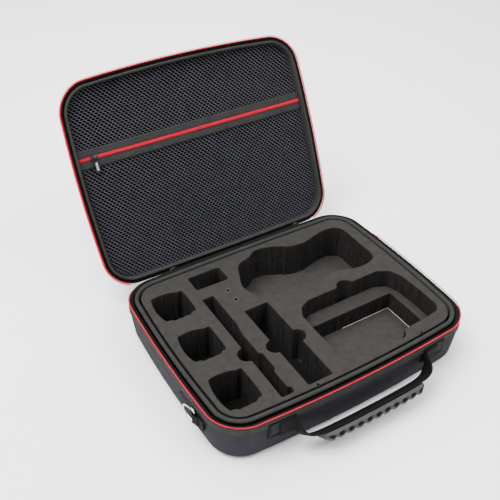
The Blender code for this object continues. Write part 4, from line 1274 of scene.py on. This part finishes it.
def build_ring_loop(side, sign, spot, start):
    """Webbing from the wall, round the ring's bar and back."""
    bar_x, bar_y = abs(spot.x), spot.y
    middle = start + 8 * MM
    path = [(side_x(start) + 0.9 * MM, start), (side_x(middle) + 1.1 * MM, middle)]
    path += [(bar_x - 2.3 * MM, bar_y - 5 * MM)] + arc((bar_x, bar_y), 2.6 * MM, 180, -60, 12)
    path += [(bar_x + 0.6 * MM, bar_y - 6 * MM), (side_x(middle) + 3.0 * MM, middle)]
    path += [(side_x(start) + 2.6 * MM, start + 0.2 * MM)]
    curve = eased([(sign * x, y, spot.z) for x, y in path], 3)
    across = np.tile([0.0, 0.0, 7.5 * MM], (len(curve), 1))
    tab = ribbon(curve, across, 1.3 * MM)
    obj = piece(f"ring_loop_{side}", tab, WEBBING, "tray", "webbing", f"ring_tab_{side}", angle=50)


def build_rings():
    for side, sign in (("left", -1), ("right", 1)):
        spot = Vector(JOINTS[f"ring_{side}_swing"]["pos_m"])
        start = spot.y - 16 * MM
        build_ring(side, sign, spot)
        build_ring_loop(side, sign, spot, start)
        low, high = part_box(f"ring_patch_{side}")
        ys = (low.y, high.y)
        order = (1, 0) if sign < 0 else (0, 1)
        places = ((order[0], low.z), (order[1], low.z), (order[1], high.z), (order[0], high.z))
        corners = [(sign * (side_x(ys[k]) - wall_inset(z) + 0.3 * MM), ys[k], z) for k, z in places]
        _, normal = soft_panel(f"ring_pad_{side}", f"ring_patch_{side}", corners, 1.1 * MM)
        rows = panel_stitches(corners, normal, 1.45 * MM, 0.12)
        foot = Vector((sign * (side_x(start) + 3.45 * MM), start + 3 * MM, spot.z))
        rise = Vector((0, 0, 6 * MM))
        rows.append(line_stitches(foot - rise, foot + rise, (sign, 0, 0)))
        sew(f"ring_pad_stitching_{side}", rows, "tray", "shell_fabric")


# ---------------------------------------------------------------- stage


def build_stage():
    floor_shader = Shader("pale_floor")
    tone = floor_shader.noise(0.6, 2)
    floor_shader.colour(tone, (0.86, 0.86, 0.86), (0.90, 0.90, 0.90))
    floor_shader.roughness(tone, 0.6, 0.7)
    size = 6.0
    verts = [(-size, -size, 0), (size, -size, 0), (size, size, 0), (-size, size, 0)]
    floor = mesh_object("floor", (verts, [(0, 1, 2, 3)], None), floor_shader.material, closed=False)
    world = bpy.context.scene.world or bpy.data.worlds.new("world")
    bpy.context.scene.world = world
    world.use_nodes = True
    world.node_tree.nodes["Background"].inputs[0].default_value = (1, 1, 1, 1)
    world.node_tree.nodes["Background"].inputs[1].default_value = 1.15
    for name, spot, power, width in (
        ("key_light", (-0.75, 0.1, 1.8), 92, 1.2),
        ("fill_light", (0.9, -0.9, 1.7), 30, 1.2),
        ("rear_light", (0.5, 1.3, 1.5), 40, 1.4),
    ):
        data = bpy.data.lights.new(name, "AREA")
        data.energy = power
        data.size = width
        lamp = bpy.data.objects.new(name, data)
        bpy.context.scene.collection.objects.link(lamp)
        lamp.location = spot
        aim = Vector((0, 0.05, 0.08)) - Vector(spot)
        lamp.rotation_euler = aim.to_track_quat("-Z", "Y").to_euler()


def build_camera():
    azimuth, elevation, roll = math.radians(-31.58), math.radians(38.40), math.radians(0.356)
    distance, right_shift, up_shift = 0.8909, -0.0543, 0.0643
    flat = math.cos(elevation)
    back = Vector((math.sin(azimuth) * flat, -math.cos(azimuth) * flat, math.sin(elevation)))
    right = Vector((math.cos(azimuth), math.sin(azimuth), 0))
    up = back.cross(right)
    data = bpy.data.cameras.new("camera")
    data.sensor_width = 36
    data.lens = 51.25
    camera = bpy.data.objects.new("camera", data)
    bpy.context.scene.collection.objects.link(camera)
    camera.location = Vector((0, 0, PARTING_Z)) + back * distance + right * right_shift + up * up_shift
    camera.rotation_mode = "QUATERNION"
    turn = Matrix.Rotation(roll, 4, "Z")
    basis = Matrix((right, up, back)).transposed().to_4x4()
    camera.rotation_quaternion = (basis @ turn).to_quaternion()
    data.clip_start = 0.05
    data.clip_end = 20
    bpy.context.scene.camera = camera


build_shells()
build_rims()
build_foam()
build_pocket()
build_zippers()
build_hinge_strip()
build_handle()
build_grip()
build_patches()
build_rings()
build_stage()
build_camera()
